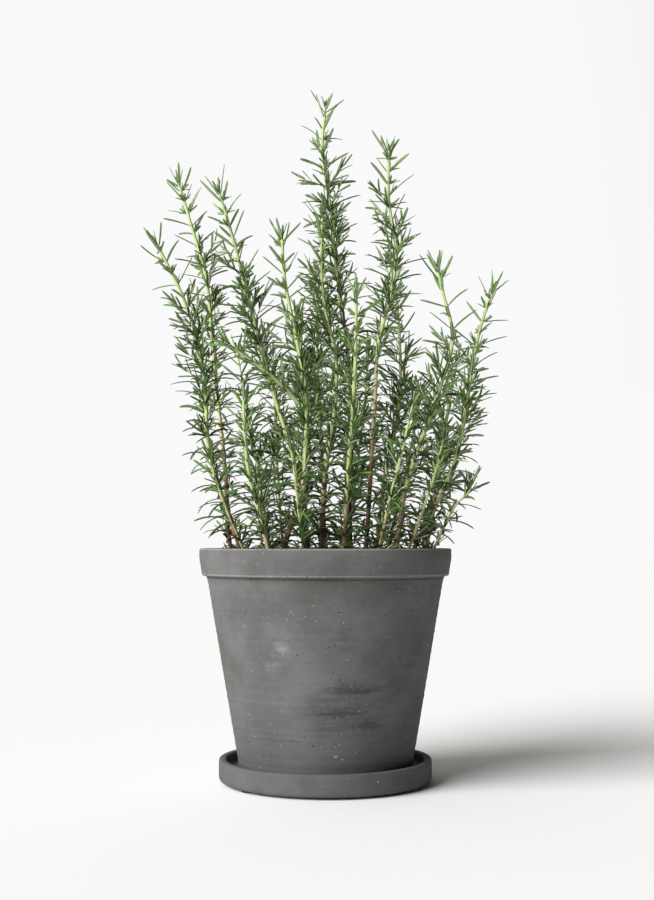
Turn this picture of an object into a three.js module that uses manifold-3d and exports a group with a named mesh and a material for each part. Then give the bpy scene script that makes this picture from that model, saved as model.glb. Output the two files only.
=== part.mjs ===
// Upright rosemary in a thrown clay pot that stands on its saucer.
// Millimetres, +Z up, the pot's axis on Z, the pads' undersides at Z = 0, the front towards -Y.
import * as THREE from 'three';
import { mergeVertices } from 'three/addons/utils/BufferGeometryUtils.js';
import Module from 'manifold-3d';

const wasm = await Module();
wasm.setup();

// ---- Driving dimensions ------------------------------------------------------------------------

const GAP = 0.3; // left between pieces that rest on each other
const ROUND_SEGMENTS = 48; // around everything that is turned on the pot's axis
const ARC_STEPS = 3; // along each rounded edge

const PAD = { radius: 7, thickness: 1.7, ringRadius: 89.5, angles: [-21, 99, 219] };

const SAUCER = {
  underside: PAD.thickness + GAP,
  radius: 101.5,
  height: 21,
  rimWidth: 7,
  floorThickness: 11.7,
  footRound: 5,
  rimRound: 2.2,
};

const POT = {
  underside: SAUCER.underside + SAUCER.floorThickness + GAP,
  height: 208,
  footRadius: 82.2,
  footRound: 2,
  neckRadius: 112.1, // the body under the rim band
  bandHeight: 26,
  bandRadius: 117.4, // the band's lower edge
  rimRadius: 120,
  rimRound: 2.2,
  rimWidth: 10,
  wall: 9.5,
  floorThickness: 12,
  drainRadius: 10,
};
const RIM_TOP = POT.underside + POT.height;
const BAND_UNDERSIDE = RIM_TOP - POT.bandHeight;
const POT_FLOOR = POT.underside + POT.floorThickness;

const NET = { radius: 22, thickness: 1.2, holes: 3, holeSize: 5, holePitch: 8 };
const GRAVEL_DEPTH = 22;
const SOIL = { surface: 200, crown: 3, cleft: 0.5 }; // cleft is the soil's gap to the pot's wall

const STEM = {
  buried: 35,
  collar: 204,
  rootRadius: 2.8,
  tipRadius: 1.0,
  budLength: 13, // the closed bud past the route's last point
  socketGap: 0.35,
};
const LEAF = {
  whorlPitch: 18,
  baseHeight: 2.2,
  length: 24,
  tipLength: 21,
  rootLean: 74, // degrees away from the stem's own direction
  tipLean: 44,
  girth: 1.3,
  spacing: 0.45, // air kept to every other shoot
};

// The stems' routes, root to tip. The first point is the collar, where the stem leaves the soil.
const ROUTES = {
  shoot_left_outer: [
    [-76, -8, 204], [-81, -10, 222], [-92, -12, 256], [-104, -13, 288], [-111, -15, 324],
    [-113, -17, 371], [-120, -19, 417], [-136, -20, 463], [-159, -22, 509],
  ],
  shoot_left_tall: [
    [-86, 24, 204], [-93, 25, 225], [-97, 29, 286], [-102, 33, 337], [-107, 37, 381],
    [-112, 40, 436], [-118, 44, 490], [-132, 48, 539], [-146, 52, 585],
  ],
  shoot_left_inner: [
    [-16, -8, 204], [-18, -8, 222], [-24, -10, 277], [-35, -13, 324], [-50, -15, 371],
    [-62, -18, 418], [-74, -20, 463], [-88, -23, 517], [-100, -25, 556],
  ],
  shoot_front_forked: [
    [-42, -45, 204], [-38, -48, 221], [-32, -52, 243], [-21, -57, 275], [-18, -61, 320],
    [-17, -65, 358], [-26, -69, 410], [-37, -74, 467], [-39, -77, 502],
  ],
  shoot_centre_tallest: [
    [24, 18, 204], [24, 18, 222], [23, 18, 317], [24, 18, 384], [19, 18, 433],
    [10, 18, 496], [4, 18, 556], [-3, 18, 606], [0, 18, 648],
  ],
  shoot_centre_left: [
    [-6, -1, 204], [-4, -2, 222], [0, -1, 296], [9, 1, 354], [10, 2, 405],
    [0, 3, 449], [-4, 5, 494], [-3, 6, 541],
  ],
  shoot_centre_front: [
    [15, -52, 204], [17, -55, 222], [20, -65, 284], [23, -75, 328], [26, -84, 372],
    [27, -94, 415], [27, -103, 447],
  ],
  shoot_right_tall: [
    [35, -12, 204], [38, -12, 222], [43, -11, 296], [47, -10, 362], [50, -9, 414],
    [62, -9, 462], [67, -8, 504], [60, -7, 552], [60, -6, 600],
  ],
  shoot_right_shaded: [
    [47, 37, 204], [51, 40, 222], [59, 48, 294], [70, 55, 344], [75, 63, 384],
    [74, 70, 441], [71, 77, 483],
  ],
  shoot_right_arched: [
    [62, -28, 204], [66, -30, 222], [73, -34, 271], [83, -38, 306], [97, -42, 345],
    [109, -46, 381], [117, -50, 417], [109, -54, 449], [102, -57, 477],
  ],
  shoot_right_outer: [
    [76, 2, 204], [84, 2, 220], [98, 4, 249], [113, 5, 278], [126, 7, 311],
    [134, 9, 350], [140, 11, 388], [150, 12, 437], [162, 14, 471],
  ],
  shoot_right_low: [
    [90, -27, 204], [101, -30, 222], [114, -35, 250], [125, -39, 268], [139, -44, 281],
  ],
  shoot_left_short: [
    [-48, -58, 204], [-52, -62, 222], [-60, -68, 257], [-68, -74, 285], [-72, -80, 321],
    [-73, -86, 357],
  ],
  shoot_right_behind: [
    [90, 18, 204], [97, 20, 222], [108, 30, 279], [116, 40, 327], [123, 50, 368], [131, 60, 407],
  ],
  shoot_back_left: [
    [-52, 56, 204], [-56, 60, 222], [-68, 76, 300], [-80, 92, 365], [-92, 106, 428],
  ],
  shoot_back_centre: [
    [-15, 70, 204], [-17, 74, 222], [-22, 92, 310], [-24, 108, 390], [-26, 122, 468],
  ],
  shoot_back_right: [
    [20, 78, 204], [22, 82, 222], [32, 102, 300], [40, 116, 368], [46, 124, 432],
  ],
  shoot_back_right_outer: [
    [58, 62, 204], [63, 67, 222], [78, 82, 285], [90, 94, 338], [98, 102, 386],
  ],
  shoot_front_right: [
    [44, -70, 204], [48, -75, 222], [58, -92, 270], [68, -108, 312], [76, -123, 350],
  ],
  shoot_left_front_low: [
    [-70, -38, 204], [-76, -43, 222], [-88, -53, 252], [-98, -62, 280], [-105, -69, 306],
  ],
  shoot_middle_left: [
    [-38, 14, 204], [-41, 16, 222], [-46, 21, 290], [-49, 26, 350], [-51, 30, 412],
  ],
  shoot_middle_back: [
    [0, 40, 204], [0, 42, 222], [-4, 48, 310], [-8, 54, 410], [-10, 60, 500],
  ],
  shoot_front_low: [
    [-18, -76, 204], [-20, -81, 222], [-24, -97, 258], [-27, -111, 288], [-30, -122, 312],
  ],
  shoot_front_right_low: [
    [70, -54, 204], [76, -59, 222], [88, -72, 258], [98, -84, 290], [105, -94, 322],
  ],
};

// The side branch leaves the forked shoot's stem above the soil, so it has no root.
const BRANCH_NAME = 'branch_front_left';
const BRANCH_ROUTE = [
  [-24, -69, 352], [-35, -74, 365], [-51, -80, 378], [-70, -87, 392], [-88, -93, 404],
];

const COLOURS = {
  clay: 0x6b6b68,
  saucerClay: 0x6a6865,
  rubber: 0x1d1d1c,
  net: 0x30322f,
  gravel: 0xa89878,
  soil: 0x3d2f24,
  foliage: 0x54703f,
};

// ---- Solids and booleans -----------------------------------------------------------------------

/** A geometry with positions only, shared vertices merged and collapsed triangles left out. */
function closed(geometry) {
  geometry.deleteAttribute('normal');
  geometry.deleteAttribute('uv');
  const merged = mergeVertices(geometry, 1e-4);
  const kept = [];
  for (let i = 0; i < merged.index.count; i += 3) {
    const corners = [0, 1, 2].map((k) => merged.index.getX(i + k));
    if (new Set(corners).size === 3) kept.push(...corners);
  }
  merged.setIndex(kept);
  return merged;
}

function toManifold(geometry) {
  return new wasm.Manifold(new wasm.Mesh({
    numProp: 3,
    vertProperties: new Float32Array(geometry.attributes.position.array),
    triVerts: new Uint32Array(geometry.index.array),
  }));
}

/** The geometry with every cutter taken out of it. */
function cut(geometry, cutters) {
  let solid = toManifold(closed(geometry));
  for (const cutter of cutters) solid = solid.subtract(toManifold(closed(cutter)));
  const mesh = solid.getMesh();
  const result = new THREE.BufferGeometry();
  result.setAttribute('position', new THREE.BufferAttribute(mesh.vertProperties, 3));
  result.setIndex(new THREE.BufferAttribute(mesh.triVerts, 1));
  return result;
}

/** A solid turned on Z from a profile of radius and height that runs up the outside. */
function turned(profile) {
  return closed(new THREE.LatheGeometry(profile, ROUND_SEGMENTS).rotateX(Math.PI / 2));
}

/** A part's mesh in a material of its own. */
function piece(name, geometry, colour, roughness) {
  const material = new THREE.MeshStandardMaterial({ color: colour, roughness, metalness: 0 });
  const mesh = new THREE.Mesh(geometry, material);
  mesh.name = name;
  return mesh;
}

// ---- Saucer, pads and pot ----------------------------------------------------------------------

/** The three thin rubber pads that the saucer stands on. */
function makePads() {
  return PAD.angles.map((degrees, i) => {
    const angle = THREE.MathUtils.degToRad(degrees);
    const disc = closed(new THREE.CylinderGeometry(PAD.radius, PAD.radius, PAD.thickness, 16));
    const pad = piece(`saucer_pad_${i + 1}`, disc, COLOURS.rubber, 0.9);
    pad.rotation.x = Math.PI / 2;
    pad.position.set(
      PAD.ringRadius * Math.cos(angle),
      PAD.ringRadius * Math.sin(angle),
      PAD.thickness / 2,
    );
    return pad;
  });
}

/** A shallow dish: flat underside, rounded foot, upright rim and flat floor. */
function makeSaucer() {
  const { underside, radius, height, rimWidth, floorThickness, footRound, rimRound } = SAUCER;
  const top = underside + height;
  const floor = underside + floorThickness;
  const innerRadius = radius - rimWidth;
  const path = new THREE.Path();
  path.moveTo(0, underside);
  path.lineTo(radius - footRound, underside);
  path.absarc(radius - footRound, underside + footRound, footRound, -Math.PI / 2, 0);
  path.absarc(radius - rimRound, top - rimRound, rimRound, 0, Math.PI / 2);
  path.absarc(innerRadius + rimRound, top - rimRound, rimRound, Math.PI / 2, Math.PI);
  path.lineTo(innerRadius, floor);
  path.lineTo(0, floor);
  return piece('saucer', turned(path.getPoints(ARC_STEPS)), COLOURS.saucerClay, 0.88);
}

/** The radius of the pot's inner wall at a height. */
function innerRadiusAt(height) {
  const share = (height - POT_FLOOR) / (RIM_TOP - POT_FLOOR);
  return THREE.MathUtils.lerp(POT.footRadius - POT.wall, POT.rimRadius - POT.rimWidth, share);
}

/** A tapered pot with a broad rim band and a drain hole through its floor. */
function makePot() {
  const { footRadius, footRound, neckRadius, bandRadius, rimRadius, rimRound } = POT;
  const innerRim = rimRadius - POT.rimWidth;
  const path = new THREE.Path();
  path.moveTo(POT.drainRadius, POT.underside);
  path.lineTo(footRadius - footRound, POT.underside);
  path.quadraticCurveTo(footRadius, POT.underside, footRadius + 0.3, POT.underside + footRound);
  path.lineTo(neckRadius, BAND_UNDERSIDE - 4);
  path.quadraticCurveTo(neckRadius + 0.6, BAND_UNDERSIDE - 0.5, neckRadius + 2.4, BAND_UNDERSIDE);
  path.lineTo(bandRadius - 1.5, BAND_UNDERSIDE + 0.4);
  path.lineTo(bandRadius, BAND_UNDERSIDE + 2);
  path.lineTo(rimRadius, RIM_TOP - 10);
  path.absarc(rimRadius - rimRound, RIM_TOP - rimRound, rimRound, 0, Math.PI / 2);
  path.absarc(innerRim + rimRound, RIM_TOP - rimRound, rimRound, Math.PI / 2, Math.PI);
  path.lineTo(innerRadiusAt(POT_FLOOR), POT_FLOOR);
  path.lineTo(POT.drainRadius, POT_FLOOR);
  path.lineTo(POT.drainRadius, POT.underside);
  return piece('pot', turned(path.getPoints(ARC_STEPS)), COLOURS.clay, 0.88);
}

// ---- What the pot holds ------------------------------------------------------------------------

/** The mesh disc over the drain hole. */
function makeDrainNet() {
  const disc = new THREE.CylinderGeometry(NET.radius, NET.radius, NET.thickness, 24);
  disc.rotateX(Math.PI / 2);
  const holes = [];
  const middle = (NET.holes - 1) / 2;
  for (let row = 0; row < NET.holes; row += 1) {
    for (let column = 0; column < NET.holes; column += 1) {
      const hole = new THREE.BoxGeometry(NET.holeSize, NET.holeSize, NET.thickness * 3);
      hole.translate((column - middle) * NET.holePitch, (row - middle) * NET.holePitch, 0);
      holes.push(hole);
    }
  }
  const net = piece('drain_net', cut(disc, holes), COLOURS.net, 0.6);
  net.position.z = POT_FLOOR + GAP + NET.thickness / 2;
  return net;
}

/** The layer of coarse stones, with a shallow recess over the net. */
function makeGravel() {
  const underside = POT_FLOOR + GAP;
  const overNet = underside + NET.thickness + GAP;
  const top = underside + GRAVEL_DEPTH;
  const profile = [
    [0, overNet],
    [NET.radius + GAP, overNet],
    [NET.radius + GAP, underside],
    [innerRadiusAt(underside) - SOIL.cleft, underside],
    [innerRadiusAt(top) - SOIL.cleft, top],
    [0, top],
  ].map(([radius, height]) => new THREE.Vector2(radius, height));
  return piece('drainage_gravel', turned(profile), COLOURS.gravel, 0.95);
}

/** The potting mix, slightly crowned, with a square socket around each buried stem. */
function makeSoil() {
  const underside = POT_FLOOR + GAP + GRAVEL_DEPTH + GAP;
  const profile = [
    [0, underside],
    [innerRadiusAt(underside) - SOIL.cleft, underside],
    [innerRadiusAt(SOIL.surface) - SOIL.cleft, SOIL.surface],
    [innerRadiusAt(SOIL.surface) * 0.6, SOIL.surface + SOIL.crown * 0.8],
    [0, SOIL.surface + SOIL.crown],
  ].map(([radius, height]) => new THREE.Vector2(radius, height));
  const side = STEM.rootRadius * Math.SQRT2 + 2 * STEM.socketGap;
  const depth = STEM.buried + STEM.socketGap;
  const headroom = 10;
  const sockets = Object.values(ROUTES).map(([[x, y]]) => {
    const socket = new THREE.BoxGeometry(side, side, depth + headroom);
    return socket.translate(x, y, STEM.collar + (headroom - depth) / 2);
  });
  return piece('potting_soil', cut(turned(profile), sockets), COLOURS.soil, 0.97);
}

// ---- Shoots ------------------------------------------------------------------------------------

/** A tapered round-ended bar of a shoot, which other shoots' leaves keep clear of. */
function bar(owner, start, end, startRadius, endRadius) {
  return { owner, line: new THREE.Line3(start.clone(), end.clone()), startRadius, endRadius };
}

/** The air between two bars, measured where their centre lines are nearest. */
function airBetween(a, b) {
  const onA = new THREE.Vector3();
  const onB = new THREE.Vector3();
  const distance = Math.sqrt(a.line.distanceSqToLine3(b.line, onA, onB));
  const radiusAt = (item, point) => THREE.MathUtils.lerp(
    item.startRadius,
    item.endRadius,
    item.line.closestPointToPointParameter(point, true),
  );
  return distance - radiusAt(a, onA) - radiusAt(b, onB);
}

/** Whether a point is in the pot's clay or below the soil's surface. */
function isInPot(point) {
  const clear = 3;
  const radius = Math.hypot(point.x, point.y);
  const overRim = radius > innerRadiusAt(point.z) - clear && radius < POT.rimRadius + clear;
  const underRim = point.z < RIM_TOP + clear;
  return (overRim && underRim) || point.z < SOIL.surface + SOIL.crown + clear;
}

/** A square ring of four corners around the stem, turned by twist about its direction. */
function ringAt(centre, direction, radius, twist) {
  const across = new THREE.Vector3(0, 1, 0);
  across.addScaledVector(direction, -across.dot(direction)).normalize();
  return [0, 1, 2, 3].map((corner) => {
    const angle = twist + Math.PI / 4 + corner * (Math.PI / 2);
    return across.clone().applyAxisAngle(direction, angle).multiplyScalar(radius).add(centre);
  });
}

/** A stem's curve with what its leaves need to know about it. */
function planShoot(name, points, rooted) {
  const route = points.map((point) => new THREE.Vector3(...point));
  const curve = new THREE.CatmullRomCurve3(route, false, 'centripetal');
  const length = curve.getLength();
  const count = Math.max(3, Math.round(length / LEAF.whorlPitch));
  const tipLift = LEAF.baseHeight / length;
  const whorls = [];
  for (let i = 0; i < count; i += 1) {
    const share = (i + 0.75) / count * (1 - 2 * tipLift);
    const radius = THREE.MathUtils.lerp(STEM.rootRadius, STEM.tipRadius, share ** 0.8);
    const levels = [share, share + tipLift].map((at) => {
      const direction = curve.getTangentAt(at);
      return { centre: curve.getPointAt(at), direction, radius };
    });
    whorls.push({ share, radius, levels, twist: (i % 2) * (Math.PI / 4) });
  }
  return { name, curve, whorls, rooted, start: route[0] };
}

/** The point of the closed bud at the end of a stem. */
function budTip(curve) {
  return curve.getPointAt(1).addScaledVector(curve.getTangentAt(1), STEM.budLength);
}

/** The bars of a shoot's stem from its first point to its bud. */
function stemBars({ name, curve, whorls, start }) {
  const stations = [start, ...whorls.map(({ levels }) => levels[0].centre), budTip(curve)];
  return stations.slice(1).map((end, i) => (
    bar(name, stations[i], end, STEM.rootRadius, STEM.rootRadius)
  ));
}

/** The tip of a leaf that keeps clear of the pot and the other shoots, or null for no leaf. */
function leafTip(name, foot, outward, direction, share, taken) {
  const lean = THREE.MathUtils.lerp(LEAF.rootLean, LEAF.tipLean, share);
  const angle = THREE.MathUtils.degToRad(lean);
  const along = direction.clone().multiplyScalar(Math.cos(angle));
  along.addScaledVector(outward, Math.sin(angle));
  for (const shortening of [1, 0.75, 0.5]) {
    const full = THREE.MathUtils.lerp(LEAF.length, LEAF.tipLength, share);
    const tip = foot.clone().addScaledVector(along, full * shortening);
    const leaf = bar(name, foot, tip, LEAF.girth, 0);
    const others = taken.filter((item) => item.owner !== name);
    const overPot = [0.25, 0.5, 0.75, 1].some((at) => isInPot(foot.clone().lerp(tip, at)));
    if (!overPot && others.every((item) => airBetween(leaf, item) > LEAF.spacing)) {
      taken.push(leaf);
      return tip;
    }
  }
  return null;
}

/** One closed body: a square tapered stem whose whorls each carry up to four pointed leaves. */
function shootGeometry(plan, taken) {
  const positions = [];
  const indices = [];
  const add = (point) => positions.push(point.x, point.y, point.z) / 3 - 1;
  const addRing = (corners) => corners.map(add);
  const sides = [[0, 1], [1, 2], [2, 3], [3, 0]];
  const wall = (lower, upper, [a, b]) => {
    indices.push(lower[a], lower[b], upper[a], lower[b], upper[b], upper[a]);
  };
  const spike = (lower, upper, [a, b], tip) => {
    const apex = add(tip);
    const loop = [lower[a], lower[b], upper[b], upper[a]];
    loop.forEach((corner, i) => indices.push(corner, loop[(i + 1) % 4], apex));
  };

  const up = new THREE.Vector3(0, 0, 1);
  const bottom = plan.start.clone().addScaledVector(up, -STEM.buried);
  const startDirection = plan.rooted ? up : plan.curve.getTangentAt(0);
  const startRing = ringAt(plan.start, startDirection, STEM.rootRadius, 0);
  let lower = addRing(plan.rooted ? ringAt(bottom, up, STEM.rootRadius, 0) : startRing);
  indices.push(lower[0], lower[3], lower[2], lower[0], lower[2], lower[1]);
  if (plan.rooted) {
    const collar = addRing(startRing);
    sides.forEach((side) => wall(lower, collar, side));
    lower = collar;
  }

  for (const { share, radius, levels, twist } of plan.whorls) {
    const rings = levels.map(({ centre, direction }) => ringAt(centre, direction, radius, twist));
    const [foot, head] = rings.map(addRing);
    sides.forEach((side) => wall(lower, foot, side));
    for (const side of sides) {
      const corners = side.flatMap((corner) => [rings[0][corner], rings[1][corner]]);
      const middle = new THREE.Vector3();
      corners.forEach((corner) => middle.addScaledVector(corner, 1 / corners.length));
      const { centre, direction } = levels[0];
      const outward = middle.clone().sub(centre);
      outward.addScaledVector(direction, -outward.dot(direction)).normalize();
      const tip = leafTip(plan.name, middle, outward, direction, share, taken);
      if (tip) spike(foot, head, side, tip);
      else wall(foot, head, side);
    }
    lower = head;
  }
  const apex = add(budTip(plan.curve));
  sides.forEach(([a, b]) => indices.push(lower[a], lower[b], apex));

  const geometry = new THREE.BufferGeometry();
  geometry.setAttribute('position', new THREE.Float32BufferAttribute(positions, 3));
  geometry.setIndex(indices);
  return geometry;
}

/** Every shoot and the side branch, each in a node of its own. */
function makeShoots() {
  const plans = Object.entries(ROUTES).map(([name, points]) => planShoot(name, points, true));
  plans.push(planShoot(BRANCH_NAME, BRANCH_ROUTE, false));
  const taken = plans.flatMap(stemBars);
  return plans.map((plan) => (
    piece(plan.name, shootGeometry(plan, taken), COLOURS.foliage, 0.6)
  ));
}

// ---- Assembly ----------------------------------------------------------------------------------

const pottedRosemary = new THREE.Group();
pottedRosemary.add(...makePads(), makeSaucer(), makePot());
pottedRosemary.add(makeDrainNet(), makeGravel(), makeSoil());
pottedRosemary.add(...makeShoots());

export default pottedRosemary;
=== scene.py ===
"""Upright rosemary in a bare clay pot on its saucer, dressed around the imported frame.

Everything is in metres, +Z up, with the pot's axis on Z and the front towards -Y.
"""

from __future__ import annotations

import logging
import math
from collections.abc import Sequence
from dataclasses import dataclass, field
from enum import Enum
from functools import reduce

import bpy
import numpy as np
from mathutils import Matrix, Vector


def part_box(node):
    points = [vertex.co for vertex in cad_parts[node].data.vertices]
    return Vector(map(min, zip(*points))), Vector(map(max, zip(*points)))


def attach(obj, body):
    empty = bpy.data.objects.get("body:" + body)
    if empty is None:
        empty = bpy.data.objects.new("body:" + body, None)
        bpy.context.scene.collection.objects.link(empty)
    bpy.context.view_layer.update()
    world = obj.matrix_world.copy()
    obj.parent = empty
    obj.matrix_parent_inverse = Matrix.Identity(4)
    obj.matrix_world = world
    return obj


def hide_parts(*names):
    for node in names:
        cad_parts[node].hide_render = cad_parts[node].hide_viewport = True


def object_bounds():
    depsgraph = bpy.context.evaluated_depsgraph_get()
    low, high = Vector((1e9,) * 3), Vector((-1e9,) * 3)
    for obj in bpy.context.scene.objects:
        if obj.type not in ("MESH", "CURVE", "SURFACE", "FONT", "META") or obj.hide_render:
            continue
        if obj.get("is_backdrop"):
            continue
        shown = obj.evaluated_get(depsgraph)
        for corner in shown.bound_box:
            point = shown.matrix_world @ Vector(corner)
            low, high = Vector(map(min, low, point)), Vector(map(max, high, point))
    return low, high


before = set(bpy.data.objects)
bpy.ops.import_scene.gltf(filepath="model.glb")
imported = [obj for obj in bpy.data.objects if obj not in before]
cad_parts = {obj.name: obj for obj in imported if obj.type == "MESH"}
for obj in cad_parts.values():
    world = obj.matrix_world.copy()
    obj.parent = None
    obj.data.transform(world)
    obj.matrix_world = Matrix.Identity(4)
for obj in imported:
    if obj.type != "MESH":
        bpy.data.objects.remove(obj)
CAD_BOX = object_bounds()

MM = 0.001
LOG = logging.getLogger("rosemary")

Array = np.ndarray
Colour = tuple[float, float, float, float]
Surface = tuple[Array, list[Array], dict[str, Array]]  # points, faces, numbers at the points
Tree = bpy.types.NodeTree
Socket = bpy.types.NodeSocket
Inputs = dict[int | str, object] | Sequence[object]
Paint = Socket | str  # a colour's socket, or its hex code

ON_AXIS = 1e-9  # a smaller radius than this is on the axis


# ---- Numbers and arrays ------------------------------------------------------------------------


def srgb(code: str) -> Colour:
    """Turns an sRGB hex colour into linear light.

    Each channel c is c / 12.92 below 0.04045 and ((c + 0.055) / 1.055) ** 2.4 above it.

    Args:
        code: The colour as "#rrggbb".

    Returns:
        Linear red, green and blue, with an alpha of 1.
    """
    channels = [int(code[i : i + 2], 16) / 255 for i in (1, 3, 5)]
    red, green, blue = (
        c / 12.92 if c <= 0.04045 else ((c + 0.055) / 1.055) ** 2.4 for c in channels
    )
    return (red, green, blue, 1.0)


def unit(vectors: Array) -> Array:
    """Scales each vector of an array to a length of one."""
    return vectors / np.maximum(np.linalg.norm(vectors, axis=-1, keepdims=True), 1e-12)


def smooth_step(x: Array, low: float, high: float) -> Array:
    """Rises from 0 at low to 1 at high as 3t^2 - 2t^3, flat outside them."""
    t = np.clip((x - low) / (high - low), 0, 1)
    return t * t * (3 - 2 * t)


def ripple(points: Array, wavelength: float, waves: int, seed: int) -> Array:
    """A smooth random field: the mean of plane waves in random directions.

    Args:
        points: (..., k) places.
        wavelength: The waves' typical length, in metres; each is 0.6 to 1.6 times that.
        waves: How many waves are added.
        seed: The field's random seed.

    Returns:
        The field at each place, mostly between -1 and 1.
    """
    draw = np.random.default_rng(seed)
    directions = unit(draw.normal(size=(waves, points.shape[-1])))
    numbers = 2 * math.pi / (wavelength * draw.uniform(0.6, 1.6, waves))
    phases = draw.uniform(0, 2 * math.pi, waves)
    return np.sin(points @ (directions * numbers[:, None]).T + phases).sum(-1) / math.sqrt(waves)


def grid_quads(rows: int, columns: int, wrap_rows: bool, wrap_columns: bool) -> Array:
    """The quads of a grid of points numbered row by row.

    Quad (i, j) joins point (i, j) to its neighbours in the next column and row; an index past
    the end wraps to 0 where that direction is closed.

    Args:
        rows: Points along the first parameter.
        columns: Points along the second parameter.
        wrap_rows: Whether the last row joins the first.
        wrap_columns: Whether the last column joins the first.

    Returns:
        (n, 4) point numbers.
    """
    i = np.arange(rows if wrap_rows else rows - 1)[:, None]
    j = np.arange(columns if wrap_columns else columns - 1)[None, :]
    below, above = (i * columns), ((i + 1) % rows) * columns
    after = (j + 1) % columns
    corners = (below + j, below + after, above + after, above + j)
    return np.stack([np.broadcast_to(c, (len(i), j.shape[1])) for c in corners], -1).reshape(-1, 4)


def tube_faces(rings: int, sides: int) -> tuple[Array, Array]:
    """The quads of a tube of rings, and the two faces that close its ends.

    Args:
        rings: Rings along the tube.
        sides: Points in each ring.

    Returns:
        (n, 4) and (2, sides) point numbers.
    """
    rim = np.arange(sides)
    quads = grid_quads(rings, sides, wrap_rows=False, wrap_columns=True)
    return quads, np.stack([rim[::-1], (rings - 1) * sides + rim])


def fan(tip: int, first: int, count: int) -> Array:
    """Triangles from a tip to each edge of a ring of points.

    Args:
        tip: The tip's number.
        first: The number of the ring's first point.
        count: Points in the ring.

    Returns:
        (count, 3) point numbers.
    """
    ring = np.arange(count)
    return np.stack([np.full(count, tip), first + ring, first + (ring + 1) % count], -1)


def full_turn(count: int) -> Array:
    """Angles spread evenly round a full turn, from 0."""
    return np.arange(count) * 2 * math.pi / count


def around(across: Array, beside: Array, turn: Array) -> Array:
    """The directions turned from across towards beside: across cos a + beside sin a."""
    return across * np.cos(turn)[..., None] + beside * np.sin(turn)[..., None]


def swung(a: Array, b: Array, turn: Array) -> tuple[Array, Array]:
    """Turns each row of coordinates (a, b) by its own t: a cos t - b sin t, a sin t + b cos t."""
    cosine, sine = np.cos(turn)[:, None], np.sin(turn)[:, None]
    return a * cosine - b * sine, a * sine + b * cosine


def strewn(draw: np.random.Generator, count: int, reach: float) -> tuple[Array, Array]:
    """Places spread evenly over a disc: at a radius of reach * sqrt(u) and any angle.

    Args:
        draw: The random numbers' source.
        count: How many places there are.
        reach: The disc's radius, in metres.

    Returns:
        The places' x and y.
    """
    radius = reach * np.sqrt(draw.uniform(0, 1, count))
    angle = draw.uniform(0, 2 * math.pi, count)
    return radius * np.cos(angle), radius * np.sin(angle)


def rounded(corners: list[tuple[float, float, float]], steps: int = 6) -> Array:
    """A profile whose corners are rounded by quadratic arcs.

    Each corner is (radius, height, rounding). The arc starts and ends at the rounding's distance
    from the corner along its two sides and follows (1-t)^2 a + 2t(1-t) corner + t^2 b.

    Args:
        corners: The corners in order; the first and last are kept sharp.
        steps: Points on each arc.

    Returns:
        (n, 2) radius and height.
    """
    places = np.array([c[:2] for c in corners])
    t = np.linspace(0, 1, steps)[:, None]
    profile = [places[:1]]
    for before, corner, after, (_, _, rounding) in zip(
        places, places[1:], places[2:], corners[1:-1]
    ):
        a = corner + unit(before - corner) * rounding
        b = corner + unit(after - corner) * rounding
        arc = (1 - t) ** 2 * a + 2 * t * (1 - t) * corner + t**2 * b
        profile.append(arc if rounding else corner[None])
    return np.concatenate([*profile, places[-1:]])


def spread(profile: Array, step: float) -> Array:
    """Adds points along a profile's long straight stretches.

    Args:
        profile: (n, 2) radius and height.
        step: The longest gap left between neighbours, in metres.

    Returns:
        (m, 2) radius and height.
    """
    pieces = []
    for a, b in zip(profile[:-1], profile[1:]):
        count = max(2, math.ceil(np.linalg.norm(b - a) / step) + 1)
        pieces.append(a + (b - a) * np.linspace(0, 1, count)[:-1, None])
    return np.concatenate([*pieces, profile[-1:]])


# ---- Meshes ------------------------------------------------------------------------------------


def build_piece(
    name: str,
    points: Array,
    faces: list[Array],
    attributes: dict[str, Array] | None = None,
    smooth: bool = True,
) -> bpy.types.Object:
    """Puts whole arrays of points and faces into a new object at the origin.

    Args:
        name: The piece's name.
        points: (n, 3) places in metres.
        faces: Arrays of point numbers, one array for each number of corners.
        attributes: One number a point under each name.
        smooth: Whether the faces are shaded smooth.

    Returns:
        The new object, linked to the scene.
    """
    mesh = bpy.data.meshes.new(name)
    mesh.vertices.add(len(points))
    mesh.vertices.foreach_set("co", np.ascontiguousarray(points, np.float32).ravel())
    sizes = np.concatenate([np.full(len(f), f.shape[1]) for f in faces])
    corners = np.concatenate([f.ravel() for f in faces]).astype(np.int32)
    starts = np.concatenate([[0], np.cumsum(sizes)[:-1]]).astype(np.int32)
    mesh.loops.add(len(corners))
    mesh.loops.foreach_set("vertex_index", corners)
    mesh.polygons.add(len(sizes))
    mesh.polygons.foreach_set("loop_start", starts)
    mesh.polygons.foreach_set("use_smooth", np.full(len(sizes), smooth))
    mesh.update(calc_edges=True)
    for label, values in (attributes or {}).items():
        layer = mesh.attributes.new(label, "FLOAT", "POINT")
        layer.data.foreach_set("value", np.ascontiguousarray(values, np.float32).ravel())
    piece = bpy.data.objects.new(name, mesh)
    bpy.context.scene.collection.objects.link(piece)
    return piece


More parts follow.
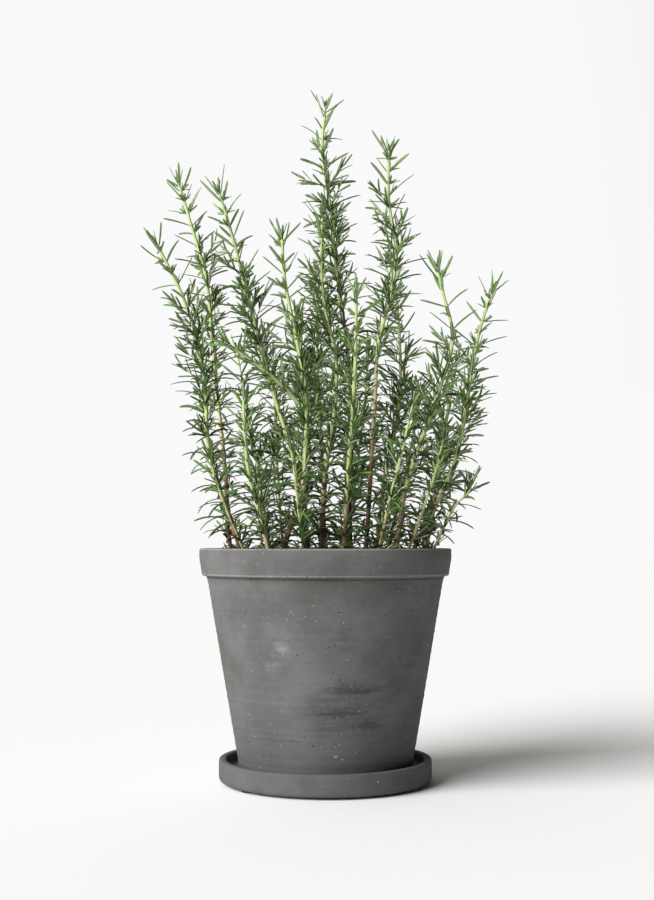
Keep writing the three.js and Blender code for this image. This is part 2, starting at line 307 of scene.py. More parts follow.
def turned_surface(profile: Array, turns: int) -> tuple[Array, list[Array]]:
    """Turns a profile about Z: point (i, j) is (r_i cos a_j, r_i sin a_j, z_i).

    A profile end on the axis becomes one pole point with a fan of triangles, and a profile whose
    ends are off the axis is closed on itself.

    Args:
        profile: (n, 2) radius and height, running up the outside.
        turns: Points round the axis.

    Returns:
        The points and the face arrays.
    """
    angles = full_turn(turns)
    poles = profile[0, 0] < ON_AXIS and profile[-1, 0] < ON_AXIS
    body = profile[1:-1] if poles else profile
    radius, height = body[:, :1], body[:, 1:]
    rings = np.stack(
        np.broadcast_arrays(radius * np.cos(angles), radius * np.sin(angles), height), -1
    ).reshape(-1, 3)
    quads = grid_quads(len(body), turns, wrap_rows=not poles, wrap_columns=True)
    if not poles:
        return rings, [quads]
    ends = np.array([[0, 0, profile[0, 1]], [0, 0, profile[-1, 1]]])
    underside = fan(len(rings), 0, turns)[:, [0, 2, 1]]
    lid = fan(len(rings) + 1, (len(body) - 1) * turns, turns)
    return np.concatenate([rings, ends]), [quads, underside, lid]


def node_points(node: bpy.types.Object) -> Array:
    """A CAD node's points, in metres.

    Args:
        node: The CAD node.

    Returns:
        (n, 3) places.
    """
    flat = np.empty(len(node.data.vertices) * 3, np.float32)
    node.data.vertices.foreach_get("co", flat)
    return flat.reshape(-1, 3).astype(float)


# ---- Materials ---------------------------------------------------------------------------------


def fill(tree: Tree, node: bpy.types.Node, inputs: Inputs) -> None:
    """Gives a node its input values and links.

    Args:
        tree: The node tree.
        node: The node whose inputs are set.
        inputs: A value, or the socket to link from, for each input by name or number, or for the
            first inputs in their order.
    """
    for key, value in inputs.items() if isinstance(inputs, dict) else enumerate(inputs):
        if isinstance(value, Socket):
            tree.links.new(value, node.inputs[key])
        else:
            node.inputs[key].default_value = value


def add_node(
    tree: Tree,
    kind: str,
    inputs: Inputs = (),
    output: str | None = None,
    stops: Sequence[tuple[float, Colour]] = (),
    **settings: object,
) -> Socket:
    """Adds a shader node with its settings, input values, links and colour stops.

    Args:
        tree: The node tree.
        kind: The node's type name, after the "ShaderNode" that every one starts with.
        inputs: The node's inputs, as fill takes them.
        output: The wanted output's name, or None for the first one in use.
        stops: Place and colour of each colour ramp stop.
        settings: The node's own properties.

    Returns:
        The node's wanted output.
    """
    node = tree.nodes.new("ShaderNode" + kind)
    for key, value in settings.items():
        setattr(node, key, value)
    fill(tree, node, inputs)
    if stops:
        elements = node.color_ramp.elements
        while len(elements) < len(stops):
            elements.new(1.0)
        for element, (place, colour) in zip(elements, stops):
            element.position = place
            element.color = colour
    return node.outputs[output] if output else next(s for s in node.outputs if s.enabled)


# Input numbers of the Mix node when it mixes colours.
MIX_A, MIX_B = 6, 7


def layered(tree: Tree, base: Paint, coats: Sequence[tuple[Socket, Paint]]) -> Socket:
    """Lays coats of colour over a base: after each, colour * (1 - mask) + coat * mask.

    Args:
        tree: The node tree.
        base: The base's socket or hex colour.
        coats: Each coat's mask, and its socket or hex colour.

    Returns:
        The colour with all its coats.
    """
    colour = base
    for mask, coat in coats:
        a, b = (srgb(c) if isinstance(c, str) else c for c in (colour, coat))
        colour = add_node(tree, "Mix", {0: mask, MIX_A: a, MIX_B: b}, data_type="RGBA")
    return colour


class Finish:
    """A surface finish that makes its material once and lays it on pieces."""

    title: str

    def skin(self, tree: Tree, place: Socket) -> dict[str, object]:
        """Builds the finish's nodes.

        Args:
            tree: The material's node tree.
            place: The piece's own coordinates.

        Returns:
            The value or socket for each of the shader's inputs that the finish sets.
        """
        raise NotImplementedError

    def on(self, piece: bpy.types.Object) -> None:
        """Gives a piece this finish, making the material at its first use.

        Args:
            piece: The piece or CAD node.
        """
        material = bpy.data.materials.get(self.title)
        if material is None:
            material = bpy.data.materials.new(self.title)
            material.use_nodes = True
            tree = material.node_tree
            place = add_node(tree, "TexCoord", output="Object")
            fill(tree, tree.nodes["Principled BSDF"], self.skin(tree, place))
        piece.data.materials.clear()
        piece.data.materials.append(material)


@dataclass(frozen=True)
class Mark:
    """A mark of handling on the front: a soft oval of dirt or rubbed clay, broken by its grain."""

    centre: tuple[float, float]  # across and up
    reach: tuple[float, float]
    strength: float = 1.0


# How far towards -Y the pot's front stands, and how far through it a mark reaches.
FRONT_AT, FRONT_REACH = -0.090, 0.050
SMUDGES = (
    Mark((0.022, 0.0800), (0.060, 0.0400), 0.40),
    Mark((0.026, 0.0970), (0.040, 0.0085), 0.9),
    Mark((0.012, 0.0760), (0.044, 0.0050), 1.0),
    Mark((0.040, 0.0650), (0.021, 0.0150), 0.8),
    Mark((0.008, 0.0610), (0.034, 0.0045), 0.6),
    Mark((-0.046, 0.0500), (0.040, 0.0017), 0.8),
    Mark((0.050, 0.0480), (0.026, 0.0015), 0.6),
    Mark((0.076, 0.1160), (0.013, 0.0035), 0.6),
)
SCUFFS = (
    Mark((-0.040, 0.1320), (0.0110, 0.0095), 0.80),
    Mark((-0.048, 0.1180), (0.0120, 0.0110), 0.35),
    Mark((0.014, 0.1390), (0.0080, 0.0022), 0.5),
    Mark((0.020, 0.1240), (0.0040, 0.0011), 1.5),
    Mark((0.009, 0.0366), (0.0022, 0.0014), 1.6),
    Mark((0.015, 0.0339), (0.0015, 0.0014), 1.4),
    Mark((-0.073, 0.1520), (0.0017, 0.0026), 1.1),
)


@dataclass(frozen=True)
class BareClay(Finish):
    """Charcoal stoneware clay, thrown on a wheel, turned and fired bare.

    It gives the eye a matt dark grey skin with pale grit, pin holes painted dark as painted
    shade, faint rings from the thrower's fingers, the smudges and scuffs of handling and painted
    highlights along the rim's arrises.
    """

    title: str = "charcoal clay, thrown and fired bare"
    body: str = "#666564"
    shade: str = "#535250"
    grit: str = "#b3b1aa"
    # Near-black painted shade inside the pin holes.
    painted_pit_shade: str = "#1f1f1f"
    smudge: str = "#363635"
    scuff: str = "#8a8f95"
    foot: str = "#4d4e4f"
    grit_spacing: float = 3.6 * MM
    pit_spacing: float = 4.2 * MM
    ring_spacing: float = 2.6 * MM
    cloud_size: float = 45 * MM
    mottle_size: float = 3.2 * MM
    crowd_size: float = 38 * MM
    tooth_size: float = 1.3 * MM
    foot_from: float = 0.026
    foot_to: float = 0.085
    # Heights of the rim's arrises that get a painted highlight.
    highlit_arrises: tuple[float, ...] = (0.2213, 0.1976)
    handled: bool = True

    def skin(self, tree: Tree, place: Socket) -> dict[str, object]:
        """Builds clouds, finger rings, grit, pin holes darkened with painted shade, handling marks
        and painted highlights along the rim's arrises over the clay.

        Args:
            tree: The material's node tree.
            place: The piece's own coordinates.

        Returns:
            The shader's inputs.
        """
        height = add_node(tree, "SeparateXYZ", (place,), output="Z")
        level = add_node(tree, "Mapping", {"Vector": place, "Scale": (0.06, 0.06, 1.0)})
        clouds, bands, blotch, crowd = self.clouds(
            tree,
            (place, self.cloud_size, 6.0),
            (level, self.ring_spacing, 3.0),
            (place, self.mottle_size, 5.0),
            (place, self.crowd_size, 2.0),
        )
        cloudy = add_node(tree, "MapRange", (clouds, 0.35, 0.68))
        streak = add_node(tree, "MapRange", (bands, 0.5, 0.8, 0.0, 0.45))
        mottle = add_node(tree, "MapRange", (blotch, 0.5, 0.75, 0.0, 0.4))
        low = add_node(tree, "MapRange", (height, self.foot_to, self.foot_from, 0.0, 0.6))
        coats = [(mask, self.shade) for mask in (cloudy, streak, mottle)] + [(low, self.foot)]
        # Handled pots also get painted highlights along the rim's arrises.
        if self.handled:
            coats += self.handling(tree, place, bands) + self.arris_highlights(tree, height, mottle)
        crowded = add_node(tree, "MapRange", (crowd, 0.38, 0.60, 0.0, 0.85))
        specks = self.spots(tree, place, self.grit_spacing, 0.17, 0.5)
        specks = add_node(tree, "Math", (specks, crowded), operation="MULTIPLY")
        # Pin holes: sunk by the bump and painted near-black as painted shade inside them.
        pits = self.spots(tree, place, self.pit_spacing, 0.19, 0.32)
        return {
            "Base Color": layered(tree, self.body, [*coats, (specks, self.grit), (pits, self.painted_pit_shade)]),
            "Roughness": 0.82,
            "Specular IOR Level": 0.12,
            "Normal": self.relief(tree, place, bands, pits),
        }

    def clouds(self, tree: Tree, *layers: tuple[Socket, float, float]) -> list[Socket]:
        """Cloudy noises that mottle the clay at several sizes.

        Args:
            tree: The material's node tree.
            layers: Each one's coordinates, the size of its patches in metres, and its detail.

        Returns:
            The noises, each about 0.5 on average.
        """
        noises = []
        for at, size, detail in layers:
            inputs = {"Vector": at, "Scale": 1 / size, "Detail": detail, "Roughness": 0.6}
            noises.append(add_node(tree, "TexNoise", inputs))
        return noises

    def arris_highlights(self, tree: Tree, height: Socket, mottle: Socket) -> list[tuple[Socket, str]]:
        """Pale lines of painted highlight along the rim's arrises, broken by the mottle.

        Args:
            tree: The material's node tree.
            height: The height above the ground.
            mottle: The clay's fine mottle, from 0 to 0.4.

        Returns:
            A coat for each arris.
        """
        coats = []
        whole = add_node(tree, "MapRange", (mottle, 0.4, 0.0))
        # Each arris gets a pale line in the grit's colour: a painted highlight.
        for arris in self.highlit_arrises:
            above = add_node(tree, "Math", (height, arris), operation="SUBTRACT")
            off = add_node(tree, "Math", (above,), operation="ABSOLUTE")
            near = add_node(tree, "MapRange", (off, 1.1 * MM, 0.2 * MM, 0.0, 0.30))
            rubbed_and_highlit = add_node(tree, "Math", (near, whole), operation="MULTIPLY")
            coats.append((rubbed_and_highlit, self.grit))
        return coats

    def spots(self, tree: Tree, place: Socket, spacing: float, size: float, share: float) -> Socket:
        """Round spots at random cells: near a cell's centre, in the share of cells that have one.

        Args:
            tree: The material's node tree.
            place: The piece's own coordinates.
            spacing: The cells' size, in metres.
            size: A spot's largest radius as a part of the spacing.
            share: The part of the cells that have a spot.

        Returns:
            The spots' mask.
        """
        turned = add_node(tree, "Mapping", {"Vector": place, "Rotation": (0.5, 0.35, 0.8)})
        distance = add_node(tree, "TexVoronoi", {"Vector": turned, "Scale": 1 / spacing})
        lot = add_node(tree, "SeparateColor", (distance.node.outputs["Color"],), output="Red")
        reach = add_node(tree, "MapRange", (lot, 1 - share, 1.0, 0.0, size))
        inside = add_node(tree, "Math", (reach, distance), operation="SUBTRACT")
        return add_node(tree, "MapRange", (inside, 0.0, size * 0.35))

    def marks(self, tree: Tree, place: Socket, marks: tuple[Mark, ...]) -> Socket:
        """The mask of a set of marks: the strongest of their soft ovals at each place.

        Args:
            tree: The material's node tree.
            place: The piece's own coordinates.
            marks: The marks on the front.

        Returns:
            The marks' mask.
        """
        ovals = []
        for mark in marks:
            centre = (mark.centre[0], FRONT_AT, mark.centre[1])
            reach = (mark.reach[0], FRONT_REACH, mark.reach[1])
            inputs = {
                "Vector": place,
                "Location": tuple(-c / r for c, r in zip(centre, reach)),
                "Scale": tuple(1 / r for r in reach),
            }
            local = add_node(tree, "Mapping", inputs)
            distance = add_node(tree, "VectorMath", (local,), operation="LENGTH")
            ovals.append(add_node(tree, "MapRange", (distance, 1.0, 0.1, 0.0, mark.strength)))
        return reduce(lambda a, b: add_node(tree, "Math", (a, b), operation="MAXIMUM"), ovals)

    def handling(self, tree: Tree, place: Socket, bands: Socket) -> list[tuple[Socket, str]]:
        """Dark level smears low on the front and pale scuffs left of its middle.

        Args:
            tree: The material's node tree.
            place: The piece's own coordinates.
            bands: The finger rings' noise, which breaks the smears into lines.

        Returns:
            A coat of smears and a coat of scuffs.
        """
        grain, rub = self.clouds(tree, (place, 4 * MM, 5.0), (place, 9 * MM, 6.0))
        lined = add_node(tree, "MapRange", (bands, 0.36, 0.56))
        gritty = add_node(tree, "MapRange", (grain, 0.36, 0.60))
        broken = add_node(tree, "Math", (lined, gritty), operation="MAXIMUM")
        smears = self.marks(tree, place, SMUDGES)
        dark = add_node(tree, "Math", (smears, broken), operation="MULTIPLY")
        rubbed_and_highlit = add_node(tree, "MapRange", (rub, 0.42, 0.62))
        scuffs = self.marks(tree, place, SCUFFS)
        pale = add_node(tree, "Math", (scuffs, rubbed_and_highlit), operation="MULTIPLY")
        return [
            (add_node(tree, "MapRange", (dark, 0.05, 0.7, 0.0, 0.75)), self.smudge),
            (add_node(tree, "MapRange", (pale, 0.0, 1.0, 0.0, 0.9)), self.scuff),
        ]

    def relief(self, tree: Tree, place: Socket, bands: Socket, pits: Socket) -> Socket:
        """The sandy tooth, finger rings and pin holes as bumps, tenths of a millimetre deep.

        Args:
            tree: The material's node tree.
            place: The piece's own coordinates.
            bands: The finger rings' noise.
            pits: The pin holes' mask.

        Returns:
            The skin's normal.
        """
        inputs = {"Vector": place, "Scale": 1 / self.tooth_size, "Detail": 3.0}
        tooth = add_node(tree, "TexNoise", inputs)
        inputs = {"Height": tooth, "Distance": 0.12 * MM, "Strength": 0.6}
        sandy = add_node(tree, "Bump", inputs)
        inputs = {"Height": bands, "Distance": 0.22 * MM, "Strength": 0.5, "Normal": sandy}
        ringed = add_node(tree, "Bump", inputs)
        inputs = {"Height": pits, "Distance": 0.6 * MM, "Strength": 0.9, "Normal": ringed}
        return add_node(tree, "Bump", inputs, invert=True)


@dataclass(frozen=True)
class EvenSkin(Finish):
    """A plain skin whose fine grain wavers between two close colours and lifts it a little."""

    title: str
    base: str
    fleck: str
    grain: float
    roughness: float
    detail: float = 2.0
    specular: float = 0.5
    relief: float = 0.05 * MM

    def skin(self, tree: Tree, place: Socket) -> dict[str, object]:
        """Builds the grain, and its bump where the skin has any relief.

        Args:
            tree: The material's node tree.
            place: The piece's own coordinates.

        Returns:
            The shader's inputs.
        """
        inputs = {"Vector": place, "Scale": 1 / self.grain, "Detail": self.detail}
        grain = add_node(tree, "TexNoise", inputs)
        skin = {
            "Base Color": layered(tree, self.base, [(grain, self.fleck)]),
            "Roughness": self.roughness,
            "Specular IOR Level": self.specular,
        }
        if self.relief:
            skin["Normal"] = add_node(tree, "Bump", {"Height": grain, "Distance": self.relief})
        return skin


# Black rubber, punched from sheet: a dull skin with a fine dusty grain.
PAD_RUBBER = EvenSkin("black rubber, punched sheet", "#1b1b1b", "#2f2e2c", 2 * MM, 0.85, detail=4.0)
# Green-black polyethylene, injection moulded: a waxy sheen on a slightly pebbled skin.
NET_PLASTIC = EvenSkin("dark polyethylene, moulded", "#2b2e2a", "#3b3f39", 1.5 * MM, 0.5)
# Matt painted floor, with hardly any tone in it and no gloss.
PALE_FLOOR = EvenSkin("pale studio floor", "#ecebea", "#ebeae9", 0.5, 0.95, specular=0, relief=0)


@dataclass(frozen=True)
class Grains(Finish):
    """Loose matter whose grains differ in colour: potting mix, bark, perlite or pumice.

    Each grain's own number, in the attribute "lot", picks its colour between two, and a fine
    noise mottles it.
    """

    title: str
    dark: str
    light: str
    mottle: float
    roughness: float = 0.95

    def skin(self, tree: Tree, place: Socket) -> dict[str, object]:
        """Builds the grain colours with a mottle of the given size.

        Args:
            tree: The material's node tree.
            place: The piece's own coordinates.

        Returns:
            The shader's inputs.
        """
        lot = add_node(tree, "Attribute", output="Fac", attribute_name="lot")
        inputs = {"Vector": place, "Scale": 1 / self.mottle, "Detail": 6.0}
        mottle = add_node(tree, "TexNoise", inputs)
        share = add_node(tree, "Math", (lot, mottle), operation="MULTIPLY")
        share = add_node(tree, "MapRange", (share, 0.0, 0.6))
        return {
            "Base Color": layered(tree, self.dark, [(share, self.light)]),
            "Roughness": self.roughness,
            "Normal": add_node(tree, "Bump", {"Height": mottle, "Distance": self.mottle * 0.3}),
        }


@dataclass(frozen=True)
class NeedleLeaf(Finish):
    """Rosemary leaf, grown: leathery and slightly glossy above, felted pale grey below.

    The attribute "upper" is 1 on the upper skin and 0 under the rolled edge, "youth" is 1 at the
    shoots' tips, and "lot" is each leaf's own number, pushed up near the soil to paint shade there.
    """

    title: str = "rosemary leaf, leathery above and felted below"
    old: str = "#5b8439"
    # Near-black green: a random dark tone on some leaves, and painted shade near the soil.
    deep: str = "#071203"
    young: str = "#64883f"
    felt: str = "#b4c398"
    mottle: float = 6 * MM

    def skin(self, tree: Tree, place: Socket) -> dict[str, object]:
        """Builds the two skins, the youth of the tips, each leaf's tone and painted shade near the
        soil.

        Args:
            tree: The material's node tree.
            place: The piece's own coordinates.

        Returns:
            The shader's inputs.
        """
        upper, youth, lot = (
            add_node(tree, "Attribute", output="Fac", attribute_name=label)
            for label in ("upper", "youth", "lot")
        )
        inputs = {"Vector": place, "Scale": 1 / self.mottle, "Detail": 3.0}
        mottle = add_node(tree, "TexNoise", inputs)
        # Each leaf's share of the near-black green: a random tone, with painted shade near the
        # soil.
        depth = add_node(tree, "Math", (lot, 0.7), operation="POWER")
        fresh = add_node(tree, "Math", (youth, mottle), operation="MULTIPLY")
        fresh = add_node(tree, "MapRange", (fresh, 0.0, 0.62, 0.0, 0.75))
        top = layered(tree, self.old, [(depth, self.deep), (fresh, self.young)])
        inputs = {"Height": mottle, "Distance": 0.2 * MM, "Strength": 0.4}
        return {
            "Base Color": layered(tree, self.felt, [(upper, top)]),
            "Roughness": add_node(tree, "MapRange", (upper, 0.0, 1.0, 0.7, 0.30)),
            "Specular IOR Level": 0.08,
            "Normal": add_node(tree, "Bump", inputs),
        }


@dataclass(frozen=True)
class SquareStem(Finish):
    """Rosemary stem, grown: ridged green shoot that turns beige, then pinkish and woody.

    The attribute "age" runs from 0 at the tip to 1 at the oldest wood, and "ridge" is 1 on the
    four ridges.
    """

    title: str = "rosemary stem, green to woody"
    tip: str = "#c3d095"
    straw: str = "#c4c78e"
    beige: str = "#b3a07a"
    pink: str = "#8d6558"
    wood: str = "#523838"
    furrow: str = "#8fa563"
    fleck_size: float = 9 * MM

    def skin(self, tree: Tree, place: Socket) -> dict[str, object]:
        """Builds the age colours, the furrows between the ridges and flecks of bark.

        Args:
            tree: The material's node tree.
            place: The piece's own coordinates.

        Returns:
            The shader's inputs.
        """
        age, ridge = (
            add_node(tree, "Attribute", output="Fac", attribute_name=label)
            for label in ("age", "ridge")
        )
        inputs = {"Vector": place, "Scale": 1 / self.fleck_size, "Detail": 4.0}
        fleck = add_node(tree, "TexNoise", inputs)
        blotch = add_node(tree, "MapRange", (fleck, 0.3, 0.7, -0.12, 0.12))
        mark = add_node(tree, "Math", (age, blotch), operation="ADD")
        codes = (self.tip, self.straw, self.beige, self.pink, self.wood)
        stops = [(at, srgb(code)) for at, code in zip((0.0, 0.3, 0.55, 0.8, 1.0), codes)]
        ages = add_node(tree, "ValToRGB", (mark,), stops=stops)
        green = add_node(tree, "MapRange", (age, 0.5, 0.1))
        hollow = add_node(tree, "Math", (1.0, ridge), operation="SUBTRACT")
        shade = add_node(tree, "Math", (green, hollow), operation="MULTIPLY")
        inputs = {"Height": fleck, "Distance": 0.3 * MM, "Strength": 0.5}
        return {
            "Base Color": layered(tree, ages, [(shade, self.furrow)]),
            "Roughness": 0.6,
            "Specular IOR Level": 0.1,
            "Normal": add_node(tree, "Bump", inputs),
        }


# ---- Pot and saucer ----------------------------------------------------------------------------

CLAY = BareClay()
SAUCER_CLAY = BareClay(
    title="charcoal clay, saucer",
    body="#636261",
    shade="#494948",
    foot="#575553",
    grit_spacing=5 * MM,
    pit_spacing=6 * MM,
    cloud_size=24 * MM,
    handled=False,
)


def settle(piece: bpy.types.Object, slot: str, *nodes: str) -> None:
    """Rides a piece on the body and hides the CAD nodes that it stands for.

    Args:
        piece: The piece.
        slot: The record's material slot; not used.
        nodes: The CAD nodes that the piece replaces.
    """
    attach(piece, "root")
    if nodes:
        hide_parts(*nodes)
    LOG.info("%s: %d faces", piece.name, len(piece.data.polygons))


def thrown(points: Array, depth: float, wobble: float, seed: int) -> Array:
    """Moves a turned surface as a thrower's fingers do.

    The radius gains depth times a ripple of the height alone, plus wobble times a slow ripple of
    the place, and the top edge rises and falls by a third of the wobble.

    Args:
        points: (n, 3) places on the turned surface.
        depth: The finger rings' depth, in metres.
        wobble: How far the shape is off round, in metres.
        seed: The ripples' random seed.

    Returns:
        The moved points.
    """
    radius = np.linalg.norm(points[:, :2], axis=1)
    height = points[:, 2:]
    rings = ripple(height, 7 * MM, 7, seed) + 0.5 * ripple(height, 3 * MM, 5, seed + 1)
    slow = ripple(points, 160 * MM, 6, seed + 2)
    grown = radius + (depth * rings + wobble * slow) * np.clip(radius / 0.05, 0, 1)
    moved = points.copy()
    moved[:, :2] *= (grown / np.maximum(radius, ON_AXIS))[:, None]
    moved[:, 2] += 0.33 * wobble * slow * smooth_step(points[:, 2], 0.05, 0.2)
    return moved


@dataclass
class ClayPot:
    """The tapered pot: foot, thrown wall, broad rim band, and drain hole."""

    wall: float = 9.5 * MM
    floor: float = 12 * MM
    band: float = 26 * MM
    band_lean: float = 2.6 * MM
    neck: float = 7.9 * MM
    drain: float = 10 * MM
    foot_radius: float = 82.2 * MM
    rim_width: float = 10 * MM
    turns: int = 240
    step: float = 1.6 * MM

    def profile(self) -> Array:
        """The section from the drain hole out under the foot, up the wall, over the rim and back.

        The wall's outside is straight from the foot to the neck; the band stands out from the
        neck over a small fillet, and its edges are rounded by about a millimetre.

        Returns:
            (n, 2) radius and height.
        """
        low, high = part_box("pot")
        bottom, top, rim = low[2], high[2], high[0] - 0.2 * MM
        shelf = top - self.band
        neck = rim - self.neck
        inside = rim - self.rim_width
        corners = [
            (self.drain, bottom, 0),
            (self.foot_radius, bottom, 1.8 * MM),
            (neck, shelf - 4 * MM, 3 * MM),
            (neck + 1.6 * MM, shelf - 0.2 * MM, 1.2 * MM),
            (rim - self.band_lean, shelf + 0.3 * MM, 1.5 * MM),
            (rim, top - 9 * MM, 2 * MM),
            (rim, top, 2.4 * MM),
            (inside, top, 2.4 * MM),
            (self.foot_radius - self.wall, bottom + self.floor, 4 * MM),
            (self.drain, bottom + self.floor, 1 * MM),
            (self.drain, bottom + 1 * MM, 0),
        ]
        return spread(rounded(corners), self.step)

    def build(self) -> bpy.types.Object:
        """Turns the profile and gives it finger rings and a slightly uneven rim."""
        points, faces = turned_surface(self.profile(), self.turns)
        return build_piece("thrown_pot", thrown(points, 0.10 * MM, 0.22 * MM, 11), faces)

    def dress(self, piece: bpy.types.Object) -> None:
        """Lays on the bare clay and takes the CAD pot's place."""
        CLAY.on(piece)
        settle(piece, "charcoal_clay", "pot")


@dataclass
class Saucer:
    """The shallow dish under the pot, with an upright rim."""

    rim_width: float = 7 * MM
    floor: float = 11.7 * MM
    level_radius: float = 0.09  # the floor is left level as far out as this
    turns: int = 240
    step: float = 1.6 * MM

    def profile(self) -> Array:
        """The section from the middle of the underside out, up the rim and back over the floor.

        Returns:
            (n, 2) radius and height.
        """
        low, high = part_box("saucer")
        bottom, top, rim = low[2], high[2], high[0] - 0.15 * MM
        inside = rim - self.rim_width
        corners = [
            (0.0, bottom, 0),
            (rim, bottom, 5 * MM),
            (rim, top, 2.4 * MM),
            (inside, top, 2.2 * MM),
            (inside - 0.6 * MM, bottom + self.floor, 2.5 * MM),
            (0.0, bottom + self.floor, 0),
        ]
        return spread(rounded(corners, 7), self.step)

    def build(self) -> bpy.types.Object:
        """Turns the profile and gives it faint finger rings, with its underside and floor level.

        Returns:
            The saucer's piece.
        """
        points, faces = turned_surface(self.profile(), self.turns)
        moved = thrown(points, 0.05 * MM, 0.12 * MM, 23)
        underside = points[:, 2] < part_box("saucer")[0][2] + 0.01 * MM
        level = underside | (np.linalg.norm(points[:, :2], axis=1) < self.level_radius)
        return build_piece("turned_saucer", np.where(level[:, None], points, moved), faces)

    def dress(self, piece: bpy.types.Object) -> None:
        """Lays on the bare clay and takes the CAD saucer's place."""
        SAUCER_CLAY.on(piece)
        settle(piece, "charcoal_clay", "saucer")


@dataclass
class SaucerPads:
    """The three thin rubber pads under the saucer's edge."""

    nodes: tuple[str, ...] = ("saucer_pad_1", "saucer_pad_2", "saucer_pad_3")
    rounding: float = 0.5 * MM
    turns: int = 40

    def build(self) -> list[bpy.types.Object]:
        """Turns a small rounded disc for each pad, at its CAD node's place.

        Returns:
            The pads' pieces.
        """
        pads = []
        for node in self.nodes:
            low, high = (np.array(corner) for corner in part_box(node))
            radius, thickness = (high - low)[0] / 2, (high - low)[2]
            corners = [
                (0.0, 0.0, 0),
                (radius, 0.0, self.rounding),
                (radius, thickness, self.rounding),
                (0.0, thickness, 0),
            ]
            points, faces = turned_surface(rounded(corners), self.turns)
            centre = np.array([*((low + high)[:2] / 2), low[2]])
            pads.append(build_piece(f"rubber_{node}", points + centre, faces))
        return pads

    def dress(self, pads: list[bpy.types.Object]) -> None:
        """Lays on the rubber and takes the CAD pads' places.

        Args:
            pads: The pads' pieces.
        """
        for pad, node in zip(pads, self.nodes):
            PAD_RUBBER.on(pad)
            settle(pad, "pad_rubber", node)


# ---- What the pot holds ------------------------------------------------------------------------

SOIL_CRUMB = Grains("potting mix, crumbled peat and compost", "#1c140e", "#57412e", 1.5 * MM)
BARK = Grains("pine bark, chipped", "#3a2417", "#8a5f40", 3 * MM)
PERLITE = Grains("perlite, expanded grains", "#cfcac0", "#f0eee8", 1.2 * MM)
PUMICE = Grains("pumice, coarse stones", "#8d8069", "#c9bb9c", 2.5 * MM)


class Grain(Enum):
    """The kinds of loose grain that lie on the soil."""

    CRUMB = "soil_crumbs"
    BARK = "bark_chips"
    PERLITE = "perlite_grains"


@dataclass(frozen=True)
class GrainKind:
    """How many grains of a kind there are, how large, how flat, and their finish."""

    count: int
    smallest: float
    largest: float
    flatness: float
    finish: Grains


GRAIN_KINDS = {
    Grain.CRUMB: GrainKind(1500, 1.6 * MM, 5.0 * MM, 0.75, SOIL_CRUMB),
    Grain.BARK: GrainKind(230, 5 * MM, 13 * MM, 0.28, BARK),
    Grain.PERLITE: GrainKind(130, 1.8 * MM, 4.2 * MM, 0.85, PERLITE),
}

# The twelve corners of an icosahedron, the lump that every grain starts from.
GOLDEN = (1 + math.sqrt(5)) / 2
LUMP_POINTS = unit(
    np.array(
        [(s, t * GOLDEN, 0) for s in (-1, 1) for t in (-1, 1)]
        + [(0, s, t * GOLDEN) for s in (-1, 1) for t in (-1, 1)]
        + [(t * GOLDEN, 0, s) for s in (-1, 1) for t in (-1, 1)]
    )
)


def lump_faces() -> Array:
    """The icosahedron's faces: every three corners that are all an edge apart, wound outwards.

    Returns:
        (20, 3) point numbers.
    """
    gaps = np.linalg.norm(LUMP_POINTS[:, None] - LUMP_POINTS[None], axis=2)
    near = (gaps > 0.1) & (gaps < 1.2)
    a, b, c = np.meshgrid(*[np.arange(12)] * 3, indexing="ij")
    found = (a < b) & (b < c) & near[a, b] & near[b, c] & near[a, c]
    faces = np.stack([a[found], b[found], c[found]], -1)
    p, q, r = (LUMP_POINTS[faces[:, k]] for k in range(3))
    inward = np.einsum("ij,ij->i", np.cross(q - p, r - p), p) < 0
    faces[inward] = faces[inward][:, ::-1]
    return faces


def scatter_lumps(
    name: str, centres: Array, sizes: Array, flatness: float, draw: np.random.Generator
) -> bpy.types.Object:
    """One mesh of many lumps, each an icosahedron pulled about, flattened, turned and placed.

    Lump k's corner i is centre_k + size_k / 2 * R_k (corner_i * stretch_k * (1 + noise)), where
    R_k turns it about a random upright axis with a small tilt.

    Args:
        name: The piece's name.
        centres: (n, 3) places.
        sizes: (n,) longest sides, in metres.
        flatness: Height as a part of the longest side.
        draw: The random numbers' source.

    Returns:
        The new object, with each lump's own number in the attribute "lot".
    """
    count = len(centres)
    stretch = np.stack([np.ones(count), draw.uniform(0.55, 1, count), np.full(count, flatness)], -1)
    corners = LUMP_POINTS[None] * stretch[:, None] * draw.uniform(0.75, 1.15, (count, 12, 1))
    spin, tilt = draw.uniform(0, 2 * math.pi, count), draw.normal(0, 0.35, count)
    x, y, z = corners[..., 0], corners[..., 1], corners[..., 2]
    y, z = swung(y, z, tilt)
    x, y = swung(x, y, spin)
    places = np.stack([x, y, z], -1) * (sizes / 2)[:, None, None] + centres[:, None]
    faces = (lump_faces()[None] + 12 * np.arange(count)[:, None, None]).reshape(-1, 3)
    lots = np.repeat(draw.uniform(0, 1, count), 12)
    return build_piece(name, places.reshape(-1, 3), [faces], {"lot": lots}, smooth=False)


